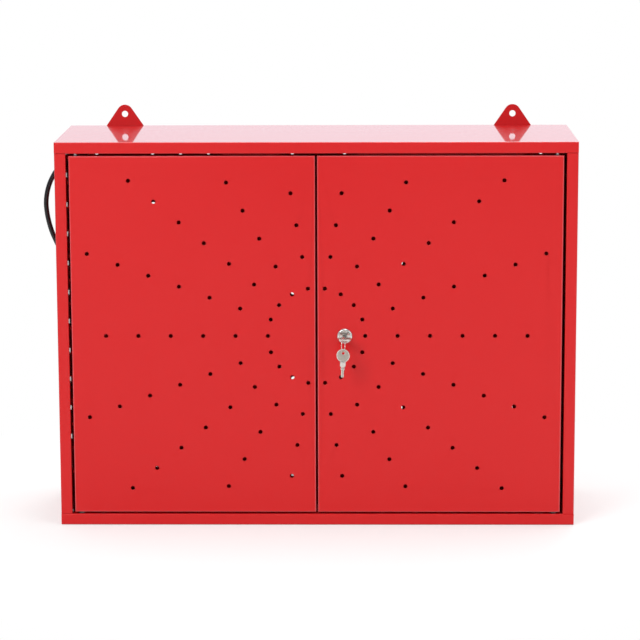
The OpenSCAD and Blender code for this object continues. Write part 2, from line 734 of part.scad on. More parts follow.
module at_lock(y) {
    translate([lock_x, y, lock_z]) rotate([-90, 0, 0]) children();
}
module lock_housing() {
    rear = door_rear_y - face_y;
    color(chrome) difference() {
        at_lock(face_y) {
            cylinder(d1 = lock_rim_d - 2 * rim_edge, d2 = lock_rim_d, h = rim_edge, $fn = 64);
            translate([0, 0, rim_edge]) cylinder(d = lock_rim_d, h = lock_rim_h - rim_edge, $fn = 64);
            cylinder(d = lock_body_d, h = rear, $fn = 64);
        }
        at_lock(face_y - cut) cylinder(d = plug_d + 2 * run_fit, h = rear + 2 * cut, $fn = 64);
    }
}
module lock_nut() {
    color(steel) at_lock(front_y + door_t) difference() {
        cylinder(d = nut_af / cos(30), h = nut_h, $fn = 6);
        translate([0, 0, -cut]) cylinder(d = lock_body_d + 2 * nut_fit, h = nut_h + 2 * cut, $fn = 64);
    }
}
module lock_plug() {
    slot_w = blade_w + 2 * slot_play;
    slot_t = key_t + 2 * slot_play;
    plug_y = face_y + plug_sunk;
    color(chrome) difference() {
        union() {
            at_lock(plug_y) cylinder(d = plug_d, h = cam_y - plug_y, $fn = 64);
            translate([lock_x, cam_y + cam_t / 2, lock_z])
                cube([plug_square, cam_t, plug_square], center = true);
        }
        translate([lock_x - slot_w / 2, face_y - cut, lock_z - slot_t / 2])
            cube([slot_w, blade_l + slot_deep + cut, slot_t]);
    }
}
module lock_cam() {
    hole = plug_square + 2 * run_fit;
    color(steel) difference() {
        union() {
            at_lock(cam_y) cylinder(d = cam_w, h = cam_t, $fn = 64);
            translate([lock_x - cam_w / 2, cam_y, lock_z - cam_l]) cube([cam_w, cam_t, cam_l]);
        }
        translate([lock_x, cam_y + cam_t / 2, lock_z]) cube([hole, cam_t + 2 * cut, hole], center = true);
    }
}
module cam_screw() {
    color(steel) at_lock(cam_y + cam_t) difference() {
        cylinder(d = cam_screw_d, h = cam_screw_h, $fn = 32);
        translate([-cam_screw_d, -driver_slot_w / 2, cam_screw_h - driver_slot_h])
            cube([2 * cam_screw_d, driver_slot_w, driver_slot_h + cut]);
    }
}

// A key lies flat in XY. Its stop ends at the origin and its blade points along +Y.
notch_count = 4;
notch_first = 1.4;
notch_pitch = 1.9;
notch_side = 1.3;
tip_side = 3;
module key() {
    bow_mid = -neck_l - bow_d / 2;
    neck_end = -key_stop_l - 0.8;
    translate([0, 0, -key_t / 2]) difference() {
        linear_extrude(key_t) {
            translate([0, bow_mid]) circle(d = bow_d, $fn = 64);
            polygon([[-neck_w / 2, bow_mid + bow_d / 4], [neck_w / 2, bow_mid + bow_d / 4],
                [neck_w / 2, neck_end - neck_slope_l], [blade_w / 2, neck_end],
                [-blade_w / 2, neck_end], [-neck_w / 2, neck_end - neck_slope_l]]);
            translate([-key_stop_w / 2, -key_stop_l]) square([key_stop_w, key_stop_l]);
            translate([-blade_w / 2, -neck_l]) square([blade_w, neck_l + blade_l]);
        }
        translate([0, bow_mid - bow_hole_x, -cut]) cylinder(d = bow_hole_d, h = key_t + 2 * cut, $fn = 32);
        for (i = [0:notch_count - 1]) translate([blade_w / 2, notch_first + notch_pitch * i, key_t / 2])
            rotate([0, 0, 45]) cube([notch_side, notch_side, key_t + 2 * cut], center = true);
        for (s = [-1, 1]) translate([s * (blade_w + tip_side) / 2, blade_l, key_t / 2])
            rotate([0, 0, 45]) cube([tip_side, tip_side, key_t + 2 * cut], center = true);
    }
}
module fitted_key() {
    color(chrome) translate([lock_x, key_y, lock_z]) key();
}
module key_ring() {
    color(chrome) translate(ring_pos) rotate([0, 0, -ring_yaw]) rotate([0, 90, 0])
        rotate_extrude($fn = 64) translate([ring_r, 0]) circle(d = ring_wire, $fn = 20);
}
module spare_key() {
    color(chrome) translate(ring_pos - [0, 0, spare_drop]) rotate([0, spare_lean, -ring_yaw])
        rotate([-90, 0, 0]) translate([0, neck_l + bow_d / 2 + bow_hole_x, 0]) key();
}

module lamp_outline(w, h) {
    translate([-w / 2, 0]) square([w, h]);
}
module lamp_housing() {
    color(white) translate([0, lamp_mid_y, lamp_bottom]) difference() {
        along_x(lamp_l) difference() {
            lamp_outline(lamp_d, lamp_h);
            translate([0, -cut]) lamp_outline(board_w, lamp_h - lamp_wall + cut);
        }
        translate([rocker_mid_x, -lamp_d / 2, lamp_h / 2])
            cube([rocker_w + 2 * rocker_play, 3 * lamp_wall, rocker_h + 2 * rocker_play], center = true);
        for (s = [-1, 1]) translate([s * lamp_l / 4, 0, lamp_h - lamp_wall - cut])
            cylinder(d = lamp_screw_d + 2 * touch, h = lamp_wall + 2 * cut, $fn = 32);
    }
}
module lamp_diffuser() {
    color(white) translate([0, lamp_mid_y, lamp_bottom]) along_x(lamp_l)
        lamp_outline(board_w, diffuser_h);
}
module lamp_end_caps() {
    color(white) for (s = [-1, 1]) translate([s * (lamp_l + cap_l) / 2, lamp_mid_y, lamp_bottom])
        along_x(cap_l) lamp_outline(lamp_d, lamp_h);
}
// Left to right the lamp holds its driver, the board with the light chips, and the rocker.
driver_x = driver_play - lamp_l / 2;
board_x = driver_x + driver_l + driver_play;
board_l = rocker_mid_x - rocker_w / 2 - rocker_room - board_x;
module lamp_board() {
    color("seagreen") translate([board_x, lamp_mid_y - board_w / 2, board_z])
        cube([board_l, board_w, board_t]);
}
chip_count = floor((board_l - chip_w) / chip_pitch);
module lamp_chips() {
    color("khaki") for (i = [0:chip_count - 1])
        translate([board_x + chip_pitch * (i + 0.5), lamp_mid_y - chip_w / 2, board_z - chip_h])
            cube([chip_w, chip_w, chip_h]);
}
module lamp_driver() {
    color(black) translate([driver_x, lamp_mid_y - driver_w / 2, lamp_bottom + diffuser_h])
        cube([driver_l, driver_w, lamp_h - diffuser_h - lamp_wall]);
}
// The rocker's face is bent in the middle, so one half stands out and the other lies flush.
module lamp_rocker() {
    half = rocker_h / 2;
    rise = half * tan(rocker_turn / 2);
    color(black) translate([rocker_mid_x - rocker_w / 2, rocker_pivot_y, rocker_mid_z])
        rotate([-rocker_turn / 2, 0, 0]) rotate([90, 0, 90]) {
            linear_extrude(rocker_w) polygon([[-rocker_depth / 2, 0], [-rocker_depth / 2 - rise, -half],
                [rocker_back, -half], [rocker_back, half], [-rocker_depth / 2 - rise, half]]);
            cylinder(d = rocker_hub_d, h = rocker_w, $fn = 32);
        }
}
module lamp_brackets() {
    color(steel) for (s = [-1, 1]) translate([s * lamp_l / 4, lamp_mid_y, lamp_top]) difference() {
        translate([0, 0, bracket_t / 2]) cube([bracket_w, lamp_d, bracket_t], center = true);
        translate([0, 0, -cut]) cylinder(d = lamp_screw_d + 2 * touch, h = bracket_t + 2 * cut, $fn = 32);
    }
}
module lamp_screws() {
    color(steel) for (s = [-1, 1]) translate([s * lamp_l / 4, lamp_mid_y, lamp_top - lamp_wall]) {
        translate([0, 0, -lamp_screw_head_h])
            cylinder(d = 2 * lamp_screw_d, h = lamp_screw_head_h, $fn = 32);
        cylinder(d = lamp_screw_d, h = lamp_wall + bracket_t, $fn = 32);
    }
}

module along(dir_angle) {
    rotate([0, 270 - dir_angle, 0]) children();
}
module strain_relief() {
    color(black) {
        difference() {
            translate(outlet) {
                along(relief_slant) cylinder(d1 = relief_base_d, d2 = relief_tip_d, h = relief_l, $fn = 32);
                sphere(d = relief_base_d, $fn = 32);
            }
            translate([outlet.x, outlet.y - relief_base_d, outlet.z - relief_base_d])
                cube(2 * relief_base_d);
        }
        translate(outlet) rotate([0, -90, 0]) cylinder(d = relief_flange_d, h = relief_flange_h, $fn = 32);
        translate(outlet) rotate([0, 90, 0])
            cylinder(d = relief_thread_d, h = sheet_t + relief_thread_l, $fn = 32);
    }
}
module outlet_nut() {
    color(black) translate(outlet + [sheet_t, 0, 0]) rotate([0, 90, 0]) difference() {
        cylinder(d = relief_nut_af / cos(30), h = relief_nut_h, $fn = 6);
        translate([0, 0, -cut])
            cylinder(d = relief_thread_d + 2 * nut_fit, h = relief_nut_h + 2 * cut, $fn = 32);
    }
}
module inner_lead() {
    color(black) tube(inner_path, lead_d / 2, 8, [0, 0, 1]);
}
module lead_clips() {
    low = lead_d / 2 + clip_t;
    color(white) for (y = clip_places) translate([roof_run.x, outlet.y + y, roof_run.z]) difference() {
        translate([-clip_w / 2, -clip_l / 2, -low]) cube([clip_w, clip_l, low + clip_drop]);
        translate([0, -clip_l / 2 - cut, 0]) rotate([-90, 0, 0])
            cylinder(d = lead_d + 2.5 * touch, h = clip_l + 2 * cut, $fn = 32);
    }
}
module mains_lead() {
    color(black) tube(hang_path, lead_d / 2, 8, [1, 0, 0]);
}
module lead_coil() {
    color(black) tube(coil_path, lead_d / 2, 6, [0, 0, 1]);
}
module coil_tie() {
    reach = lead_d / 2 + touch;
    low = coil_z - lead_d / 2 - tie_gap;
    high = coil_z + coil_pitch + lead_d / 2 + tie_gap;
    in_r = coil_least_r - reach;
    out_r = coil_r + reach;
    color(black) translate([coil_mid.x, coil_mid.y, 0]) rotate([0, 0, -tie_turn])
        translate([0, -tie_w / 2, 0]) difference() {
            translate([in_r - tie_t, 0, low - tie_t])
                cube([out_r - in_r + 2 * tie_t, tie_w, high - low + 2 * tie_t]);
            translate([in_r, -cut, low]) cube([out_r - in_r, tie_w + 2 * cut, high - low]);
        }
}

module at_plug() {
    translate([coil_end.x, coil_end.y, 0]) rotate([0, 0, coil_end_angle - 90]) children();
}
plug_mid = plug_sleeve_l + plug_grip_w / 2;
module plug_body() {
    small_d = plug_body_d - 2 * plug_edge;
    color(black) at_plug() {
        intersection() {
            translate([plug_mid, 0, 0]) {
                cylinder(d1 = small_d, d2 = plug_body_d, h = plug_edge, $fn = 64);
                translate([0, 0, plug_edge])
                    cylinder(d = plug_body_d, h = plug_body_h - 2 * plug_edge, $fn = 64);
                translate([0, 0, plug_body_h - plug_edge])
                    cylinder(d1 = plug_body_d, d2 = small_d, h = plug_edge, $fn = 64);
            }
            translate([plug_mid - plug_body_d, -plug_grip_w / 2, -cut])
                cube([2 * plug_body_d, plug_grip_w, plug_body_h + 2 * cut]);
        }
        translate([0, 0, coil_z + coil_pitch]) rotate([0, 90, 0]) cylinder(
            d1 = plug_sleeve_d[0], d2 = plug_sleeve_d[1], h = plug_sleeve_l + plug_edge, $fn = 32);
    }
}
module plug_contacts() {
    color(chrome) at_plug() for (s = [-1, 1]) translate([plug_mid, s * contact_gap / 2, plug_body_h]) {
        cylinder(d = contact_d, h = contact_l - contact_d / 2, $fn = 32);
        translate([0, 0, contact_l - contact_d / 2]) sphere(d = contact_d, $fn = 32);
    }
}
module plug_earth_clips() {
    color(steel) at_plug() for (s = [-1, 1])
        translate([plug_mid + s * (plug_body_d + earth_t) / 2, 0, plug_body_h - earth_w / 2])
            cube([earth_t, earth_w, earth_w], center = true);
}

top_panel();
bottom_panel();
left_side_panel();
right_side_panel();
back_panel();
hanging_ears();
top_door_stop();
bottom_door_stop();
hinge_pins();
left_door();
left_door_bushes();
right_door();
right_door_bushes();
bolt_guides();
door_bolt();
lock_housing();
lock_nut();
lock_plug();
lock_cam();
cam_screw();
fitted_key();
key_ring();
spare_key();
lamp_housing();
lamp_diffuser();
lamp_end_caps();
lamp_board();
lamp_chips();
lamp_driver();
lamp_rocker();
lamp_brackets();
lamp_screws();
strain_relief();
outlet_nut();
inner_lead();
lead_clips();
mains_lead();
lead_coil();
coil_tie();
plug_body();
plug_contacts();
plug_earth_clips();
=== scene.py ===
# %% [markdown]
# A red tool cabinet with two perforated doors, looked at from a little above.
# The sheet metal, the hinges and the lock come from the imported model, and only their edges are rounded.
# This script gives them their finishes, adds the soft lead and the finer pieces, and lights the whole.
# Everything is in metres. The origin is the middle of the underside, the doors face -Y and +Z is up.

import json
import math

import bmesh
import bpy
from mathutils import Matrix, Vector


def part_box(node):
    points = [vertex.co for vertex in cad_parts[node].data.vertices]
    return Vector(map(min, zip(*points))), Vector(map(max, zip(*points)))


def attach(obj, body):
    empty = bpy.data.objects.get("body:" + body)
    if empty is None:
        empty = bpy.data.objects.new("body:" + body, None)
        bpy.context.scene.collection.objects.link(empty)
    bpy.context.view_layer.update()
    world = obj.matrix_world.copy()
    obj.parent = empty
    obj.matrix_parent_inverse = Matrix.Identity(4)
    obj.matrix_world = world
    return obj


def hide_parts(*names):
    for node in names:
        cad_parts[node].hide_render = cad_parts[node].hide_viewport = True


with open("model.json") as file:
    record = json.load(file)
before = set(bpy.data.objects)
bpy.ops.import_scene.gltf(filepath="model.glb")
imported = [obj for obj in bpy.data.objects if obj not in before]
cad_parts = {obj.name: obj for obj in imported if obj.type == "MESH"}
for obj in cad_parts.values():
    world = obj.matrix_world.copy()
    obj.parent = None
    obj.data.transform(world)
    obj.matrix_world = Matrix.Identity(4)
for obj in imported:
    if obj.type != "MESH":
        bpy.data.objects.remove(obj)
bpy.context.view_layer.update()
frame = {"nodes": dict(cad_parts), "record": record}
nodes = frame["nodes"]
scene = bpy.context.scene
scene.view_settings.view_transform = "Standard"
MM = 0.001
body_of = {node: body for body, held in frame["record"]["behaviour"]["bodies"].items() for node in held}
slot_of = {part["node"]: part["material_slot"] for part in frame["record"]["subparts"]}

# %% [markdown]
# The camera comes first. The cord keeps out of its sight where the photograph shows none.
# Its place was worked out from the four corners of the front and the two rear corners of the roof:
# the roof looks foreshortened, so the camera stands about 10 degrees above the middle of the doors.
# A long lens keeps the upright edges almost parallel, as in a catalogue photograph.

# %% Camera
CAMERA_PLACE = Vector((0.057, -3.2998, 0.8347))
CAMERA_TURN = (1.39311, 0.00324, 0.01587)
LENS = 148.43
camera_data = bpy.data.cameras.new("camera")
camera_data.sensor_width = 36.0
camera_data.lens = LENS
camera_data.clip_end = 60.0
camera = bpy.data.objects.new("camera", camera_data)
camera.location = CAMERA_PLACE
camera.rotation_euler = CAMERA_TURN
scene.collection.objects.link(camera)
scene.camera = camera
print("camera", round(CAMERA_PLACE.length, 2), "m away, lens", round(LENS), "mm")

# %% [markdown]
# The mains lead leaves the left wall near the back, swings out in a shallow bow and hangs down.
# The photograph shows only the bow. The rest runs down the wall and lies in a coil behind the cabinet.
# A lead has one thickness all along, so a curve with a round bevel makes it, and one smooth line
# through chosen points gives its shape. The same points stand in the part's source, in millimetres.

# %% Route of the lead
LEAD_D = 6.3 * MM
left_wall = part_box("left_side_panel")[0].x
OUTLET = Vector((left_wall, 70 * MM, 445 * MM))
RELIEF_SLANT = math.radians(50)
RELIEF_L = 20 * MM
relief_dir = Vector((-math.cos(RELIEF_SLANT), 0, -math.sin(RELIEF_SLANT)))
relief_tip = OUTLET + RELIEF_L * relief_dir

HANG_HIGH = [(-20.3, 70, -25), (-25.8, 70, -36), (-29.4, 70, -48), (-31, 70, -61), (-30.2, 70, -74),
             (-27.8, 70, -87), (-24, 70, -100), (-19, 70, -112), (-14.6, 70, -122), (-11, 70, -133),
             (-8, 70, -146), (-6, 70, -162), (-5, 71, -180), (-4.5, 72, -205)]
HANG_LOW = [(-4.5, 78, 85), (-4.5, 79, 62), (-4.5, 80, 46), (-4.5, 84, 28),
            (-4, 92, 15), (-4, 104, 7), (-4, 118, 4), (-4, 134, 4)]
HANG_BETWEEN = 3
hang_top = [Vector((left_wall + x * MM, y * MM, OUTLET.z + z * MM)) for x, y, z in HANG_HIGH]
hang_foot = [Vector((left_wall + x * MM, y * MM, z * MM)) for x, y, z in HANG_LOW]
hang_middle = [hang_top[-1].lerp(hang_foot[0], i / (HANG_BETWEEN + 1))
               for i in range(1, HANG_BETWEEN + 1)]

COIL_R, COIL_PITCH, COIL_Z, COIL_TURNS = 46 * MM, 6.9 * MM, 4 * MM, 5 + 1 / 3
coil_start = Vector((left_wall - 4 * MM, 158 * MM, COIL_Z))
lead_end = coil_start - Vector((0, LEAD_D, 0))
hang_points = ([relief_tip, relief_tip + LEAD_D * relief_dir] + hang_top + hang_middle + hang_foot
               + [lead_end - Vector((0, LEAD_D, 0)), lead_end])


def smooth_path(points, steps):
    """The smooth curve through points, with steps pieces between each two."""
    made, last = [], len(points) - 1
    for i in range(last):
        a, b, c, d = points[max(i - 1, 0)], points[i], points[i + 1], points[min(i + 2, last)]
        for k in range(steps):
            t = k / steps
            made.append(0.5 * (2 * b + (c - a) * t + (2 * a - 5 * b + 4 * c - d) * t ** 2
                               + (3 * b - a - 3 * c + d) * t ** 3))
    return made + [points[last]]


def ease(t):
    """A share from 0 to 1 that starts and ends gently."""
    t = min(max(t, 0.0), 1.0)
    return t * t * (3 - 2 * t)


# %% [markdown]
# The coil winds inwards on the floor, climbs one layer in the half turn where it reverses,
# and winds out again on top. Its radius and height are plain functions of the angle.

# %% Coil and the lead as one curve
coil_mid = coil_start + Vector((COIL_R, 0, 0))
coil_degrees = 360 * COIL_TURNS
coil_least_r = COIL_R - COIL_PITCH * COIL_TURNS / 2


def coil_point(degrees):
    """The lead's place after that many degrees of the coil."""
    from_middle = degrees - coil_degrees / 2
    radius = coil_least_r + COIL_PITCH * abs(from_middle) / 360
    angle = math.radians(180 - degrees)
    height = COIL_Z + COIL_PITCH * ease((from_middle + 90) / 180)
    return Vector((coil_mid.x + radius * math.cos(angle), coil_mid.y + radius * math.sin(angle), height))


COIL_RINGS = 48
coil_count = round(COIL_TURNS * COIL_RINGS)
coil_points = [coil_point(coil_degrees * i / coil_count) for i in range(coil_count + 1)]
coil_end_angle = math.radians(180 - coil_degrees)
coil_end_dir = Vector((math.sin(coil_end_angle), -math.cos(coil_end_angle), 0))
coil_end = coil_points[-1] + LEAD_D * coil_end_dir
lead_points = smooth_path(hang_points, 6) + coil_points + [coil_end]


def cord_curve(name, points, diameter):
    """A round cord as a curve of one open spline through points."""
    data = bpy.data.curves.new(name, "CURVE")
    data.dimensions = "3D"
    data.bevel_depth = 1
    data.bevel_resolution = 5
    data.use_fill_caps = True
    spline = data.splines.new("POLY")
    spline.points.add(len(points) - 1)
    for place, point in zip(spline.points, points):
        place.co = (*point, 1)
        place.radius = diameter / 2
    spline.use_smooth = True
    made = bpy.data.objects.new(name, data)
    scene.collection.objects.link(made)
    return made


lead = cord_curve("mains_lead_sheath", lead_points, LEAD_D)
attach(lead, "casing")
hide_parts("mains_lead", "lead_coil")

# %% [markdown]
# Node groups hold the effects that several finishes share. Each puts out only a value, a colour or a
# normal, so the shader itself stays in its own material. A small helper keeps the wiring short.

# %% Helpers for nodes
def add(tree, kind, **settings):
    """A node of that kind. Its inputs are filled or linked by name, other settings are attributes."""
    made = tree.nodes.new(kind)
    inputs = settings.pop("inputs", {})
    for name, value in settings.items():
        setattr(made, name, value)
    for name, value in inputs.items():
        socket = made.inputs[name]
        if isinstance(value, bpy.types.NodeSocket):
            tree.links.new(value, socket)
        else:
            socket.default_value = value
    return made


def maths(tree, operation, first, second):
    """The value that one arithmetic node gives."""
    return add(tree, "ShaderNodeMath", operation=operation, inputs={0: first, 1: second}).outputs[0]


def new_group(name, inputs, outputs):
    """A shader node group with those inputs (name: default) and outputs (name: kind)."""
    group = bpy.data.node_groups.new(name, "ShaderNodeTree")
    for title, value in inputs.items():
        kind = "NodeSocketColor" if isinstance(value, tuple) else "NodeSocketFloat"
        socket = group.interface.new_socket(title, in_out="INPUT", socket_type=kind)
        socket.default_value = value
    for title, kind in outputs.items():
        group.interface.new_socket(title, in_out="OUTPUT", socket_type=kind)
    return group, group.nodes.new("NodeGroupInput"), group.nodes.new("NodeGroupOutput")


def place_group(tree, group, **inputs):
    """A node that runs the group, with its inputs filled or linked by name."""
    made = tree.nodes.new("ShaderNodeGroup")
    made.node_tree = group
    for title, value in inputs.items():
        socket = made.inputs[title.replace("_", " ")]
        if isinstance(value, bpy.types.NodeSocket):
            tree.links.new(value, socket)
        else:
            socket.default_value = value
    return made


# %% [markdown]
# Powder coat isn't perfectly flat: as it melts it sets in a fine, shallow orange peel, and the sheet
# under it has long, faint waves. Both show only in reflections, so the group gives a normal.

# %% Group: coated surface
coat_group, given, result = new_group(
    "coated surface",
    {"Peel Scale": 260.0, "Peel Height": 0.00002, "Wave Scale": 5.0, "Wave Height": 0.0004},
    {"Normal": "NodeSocketVector"})
place = add(coat_group, "ShaderNodeTexCoord")
peel = add(coat_group, "ShaderNodeTexNoise", inputs={
    "Vector": place.outputs["Object"], "Scale": given.outputs["Peel Scale"],
    "Detail": 2.0, "Roughness": 0.4})
wave = add(coat_group, "ShaderNodeTexNoise", inputs={
    "Vector": place.outputs["Object"], "Scale": given.outputs["Wave Scale"], "Detail": 0.0})
wave_bump = add(coat_group, "ShaderNodeBump", inputs={
    "Height": wave.outputs["Fac"], "Distance": given.outputs["Wave Height"], "Strength": 1.0})
peel_bump = add(coat_group, "ShaderNodeBump", inputs={
    "Height": peel.outputs["Fac"], "Distance": given.outputs["Peel Height"], "Strength": 1.0,
    "Normal": wave_bump.outputs["Normal"]})
coat_group.links.new(peel_bump.outputs["Normal"], result.inputs["Normal"])

# %% [markdown]
# A second group mixes two near colours in soft patches, since no real finish has one single colour.
# A third gives fine parallel or crossing scratches, for metal that was drawn, milled or handled.

# %% Groups: soft patches and fine scratches
patch_group, given, result = new_group(
    "soft patches",
    {"First": (0.5, 0.5, 0.5, 1), "Second": (0.6, 0.6, 0.6, 1), "Scale": 8.0, "Contrast": 1.5},
    {"Color": "NodeSocketColor", "Mask": "NodeSocketFloat"})
place = add(patch_group, "ShaderNodeTexCoord")
noise = add(patch_group, "ShaderNodeTexNoise", inputs={
    "Vector": place.outputs["Object"], "Scale": given.outputs["Scale"], "Detail": 4.0, "Roughness": 0.55})
centred = maths(patch_group, "SUBTRACT", noise.outputs["Fac"], 0.5)
mask = add(patch_group, "ShaderNodeMath", operation="MULTIPLY_ADD", use_clamp=True, inputs={
    0: centred, 1: given.outputs["Contrast"], 2: 0.5})
mixed = add(patch_group, "ShaderNodeMix", data_type="RGBA")
patch_group.links.new(mask.outputs[0], mixed.inputs["Factor"])
patch_group.links.new(given.outputs["First"], mixed.inputs[6])
patch_group.links.new(given.outputs["Second"], mixed.inputs[7])
patch_group.links.new(mixed.outputs[2], result.inputs["Color"])
patch_group.links.new(mask.outputs[0], result.inputs["Mask"])

scratch_group, given, result = new_group(
    "fine scratches", {"Scale": 900.0, "Stretch": 0.04, "Height": 0.000004},
    {"Normal": "NodeSocketVector", "Mask": "NodeSocketFloat"})
place = add(scratch_group, "ShaderNodeTexCoord")
stretch = add(scratch_group, "ShaderNodeCombineXYZ", inputs={0: given.outputs["Stretch"], 1: 1.0, 2: 1.0})
drawn = add(scratch_group, "ShaderNodeVectorMath", operation="MULTIPLY", inputs={
    0: place.outputs["Object"], 1: stretch.outputs[0]})
lines = add(scratch_group, "ShaderNodeTexNoise", inputs={
    "Vector": drawn.outputs[0], "Scale": given.outputs["Scale"], "Detail": 3.0, "Roughness": 0.6})
bump = add(scratch_group, "ShaderNodeBump", inputs={
    "Height": lines.outputs["Fac"], "Distance": given.outputs["Height"], "Strength": 1.0})
scratch_group.links.new(bump.outputs["Normal"], result.inputs["Normal"])
scratch_group.links.new(lines.outputs["Fac"], result.inputs["Mask"])


def new_material(name, **shader):
    """A material with one Principled shader. Returns the material, its tree and the shader node."""
    material = bpy.data.materials.new(name)
    material.use_nodes = True
    tree = material.node_tree
    principled = tree.nodes["Principled BSDF"]
    for title, value in shader.items():
        principled.inputs[title.replace("_", " ")].default_value = value
    return material, tree, principled


def ramp(tree, value, low, high, low_to, high_to):
    """A value stretched from low..high to low_to..high_to and held at both ends."""
    stretched = add(tree, "ShaderNodeMapRange", inputs={
        "Value": value, "From Min": low, "From Max": high, "To Min": low_to, "To Max": high_to})
    return stretched.outputs[0]


# %% [markdown]
# The red paint looks deep red from the front, but at a flat angle the roof mirrors the white studio
# and turns pale pink. A clear coat over the colour does that. Its weight rises towards flat angles,
# since from straight ahead the doors in the photograph hardly reflect at all. The doors' round rims get
# a lighter, pinker coat of their own, with more gloss from the front: a painted highlight for the thin
# bright lines along their edges.

# %% Red paint
def red_coat(name, first, second, gloss_from=0.1, gloss_to=0.5):
    """Glossy red powder coat in two near shades, its gloss rising between two flatness values."""
    material, tree, shader = new_material(name, IOR=1.45, Coat_Roughness=0.03, Coat_IOR=1.8)
    patches = place_group(tree, patch_group, First=first, Second=second, Scale=3.0, Contrast=1.0)
    surface = place_group(tree, coat_group)
    facing = add(tree, "ShaderNodeLayerWeight", inputs={"Blend": 0.5})
    gloss = ramp(tree, facing.outputs["Facing"], gloss_from, gloss_to, 0.0, 1.0)
    roughness = ramp(tree, patches.outputs["Mask"], 0.0, 1.0, 0.26, 0.36)
    tree.links.new(patches.outputs["Color"], shader.inputs["Base Color"])
    tree.links.new(gloss, shader.inputs["Coat Weight"])
    tree.links.new(roughness, shader.inputs["Roughness"])
    tree.links.new(surface.outputs["Normal"], shader.inputs["Normal"])
    tree.links.new(surface.outputs["Normal"], shader.inputs["Coat Normal"])
    return material


red_paint = red_coat("red_powder_coat", (0.655, 0.006, 0.008, 1), (0.695, 0.012, 0.013, 1))
rim_painted_highlight_coat = red_coat("red_coat_with_painted_highlight_on_rims", (0.70, 0.045, 0.055, 1), (0.74, 0.06, 0.07, 1),
                     gloss_from=0.0, gloss_to=0.12)
# The ears get a darker red of their own: painted shade.
ear_painted_shade_coat = red_coat("red_coat_with_painted_shade_on_ears", (0.50, 0.006, 0.009, 1), (0.58, 0.010, 0.012, 1))
print("three red coats")

# %% [markdown]
# The small fittings are bright zinc. The bushes are the same metal made dark, painted shade for the
# gaps they sit in. The lock is polished, while the keys are dull nickel silver with their high parts
# lighter, a painted highlight.

# %% Zinc and nickel
def plated(name, first, second, smooth, rough):
    """Plated steel in two near shades of its spangle, each shade with its own roughness."""
    material, tree, shader = new_material(name, Metallic=1.0)
    patches = place_group(tree, patch_group, First=first, Second=second, Scale=90.0, Contrast=2.0)
    lines = place_group(tree, scratch_group, Scale=1200.0)
    roughness = ramp(tree, patches.outputs["Mask"], 0.0, 1.0, smooth, rough)
    tree.links.new(patches.outputs["Color"], shader.inputs["Base Color"])
    tree.links.new(roughness, shader.inputs["Roughness"])
    tree.links.new(lines.outputs["Normal"], shader.inputs["Normal"])
    return material


zinc = plated("zinc_plated_steel", (0.52, 0.54, 0.55, 1), (0.66, 0.66, 0.65, 1), 0.24, 0.4)
zinc_darkened_as_painted_shade = plated("zinc_darkened_as_painted_shade", (0.09, 0.085, 0.08, 1), (0.16, 0.15, 0.14, 1), 0.4, 0.55)


def nickel(name, first, second, smooth, rough, spots=160.0, contrast=2.0, lines=2200.0, stretch=0.3,
           depth=0.000003):
    """Nickel in two near shades, with fine scratches between two roughness values."""
    material, tree, shader = new_material(name, Metallic=1.0)
    patches = place_group(tree, patch_group, First=first, Second=second, Scale=spots, Contrast=contrast)
    scratches = place_group(tree, scratch_group, Scale=lines, Stretch=stretch, Height=depth)
    roughness = ramp(tree, scratches.outputs["Mask"], 0.3, 0.7, smooth, rough)
    tree.links.new(patches.outputs["Color"], shader.inputs["Base Color"])
    tree.links.new(roughness, shader.inputs["Roughness"])
    tree.links.new(scratches.outputs["Normal"], shader.inputs["Normal"])
    return material


chrome = nickel("polished_nickel", (0.78, 0.77, 0.72, 1), (0.84, 0.83, 0.8, 1), 0.1, 0.22,
                spots=200.0, contrast=1.5, lines=2500.0, stretch=0.1, depth=0.000001)
key_nickel = nickel("key_nickel", (0.50, 0.45, 0.39, 1), (0.60, 0.56, 0.49, 1), 0.28, 0.42)
bright_nickel_and_painted_highlight = nickel("bright_nickel_and_painted_highlight", (0.84, 0.80, 0.73, 1), (0.93, 0.90, 0.84, 1), 0.2, 0.34)
print("two zincs and three nickels")

# %% [markdown]
# The plastics differ in grain: the lead's sheath is smooth and soft, the plug is coarser, and the
# lamp's white and opal parts are fine. The yellow chips stand for the lamp's light sources.

# %% Black and white plastics
def plastic(name, first, second, rough, grain_height, grain_scale=700.0):
    """A moulded plastic: two near colours in patches, and a fine grain."""
    material, tree, shader = new_material(name)
    patches = place_group(tree, patch_group, First=first, Second=second, Scale=30.0, Contrast=1.5)
    grain = place_group(tree, coat_group, Peel_Scale=grain_scale, Peel_Height=grain_height,
                        Wave_Height=0.0)
    roughness = ramp(tree, patches.outputs["Mask"], 0.0, 1.0, rough - 0.04, rough + 0.05)
    tree.links.new(patches.outputs["Color"], shader.inputs["Base Color"])
    tree.links.new(roughness, shader.inputs["Roughness"])
    tree.links.new(grain.outputs["Normal"], shader.inputs["Normal"])
    return material


black_sheath = plastic("black_sheath", (0.004, 0.004, 0.005, 1), (0.008, 0.008, 0.009, 1), 0.26, 0.000006)
black_plastic = plastic("black_plastic", (0.012, 0.012, 0.013, 1), (0.022, 0.022, 0.023, 1),
                        0.45, 0.00002)
white_plastic = plastic("white_plastic", (0.80, 0.80, 0.77, 1), (0.86, 0.86, 0.84, 1), 0.38, 0.00001)
opal_plastic = plastic("opal_plastic", (0.84, 0.84, 0.82, 1), (0.9, 0.9, 0.88, 1), 0.28, 0.000004)
circuit_board = plastic("white_circuit_board", (0.78, 0.79, 0.76, 1), (0.86, 0.86, 0.84, 1),
                        0.35, 0.000004)
light_chip = plastic("light_chip", (0.85, 0.62, 0.10, 1), (0.9, 0.72, 0.2, 1), 0.25, 0.000002)

# %% [markdown]
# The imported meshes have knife-sharp edges, and real sheet has edges rounded by the paint on them.
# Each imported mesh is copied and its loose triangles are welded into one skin.
# Then a narrow round edge goes on every corner, so that it catches the light as a thin bright line.
# The wide faces keep their own normals, or else long soft shadows would run across them.

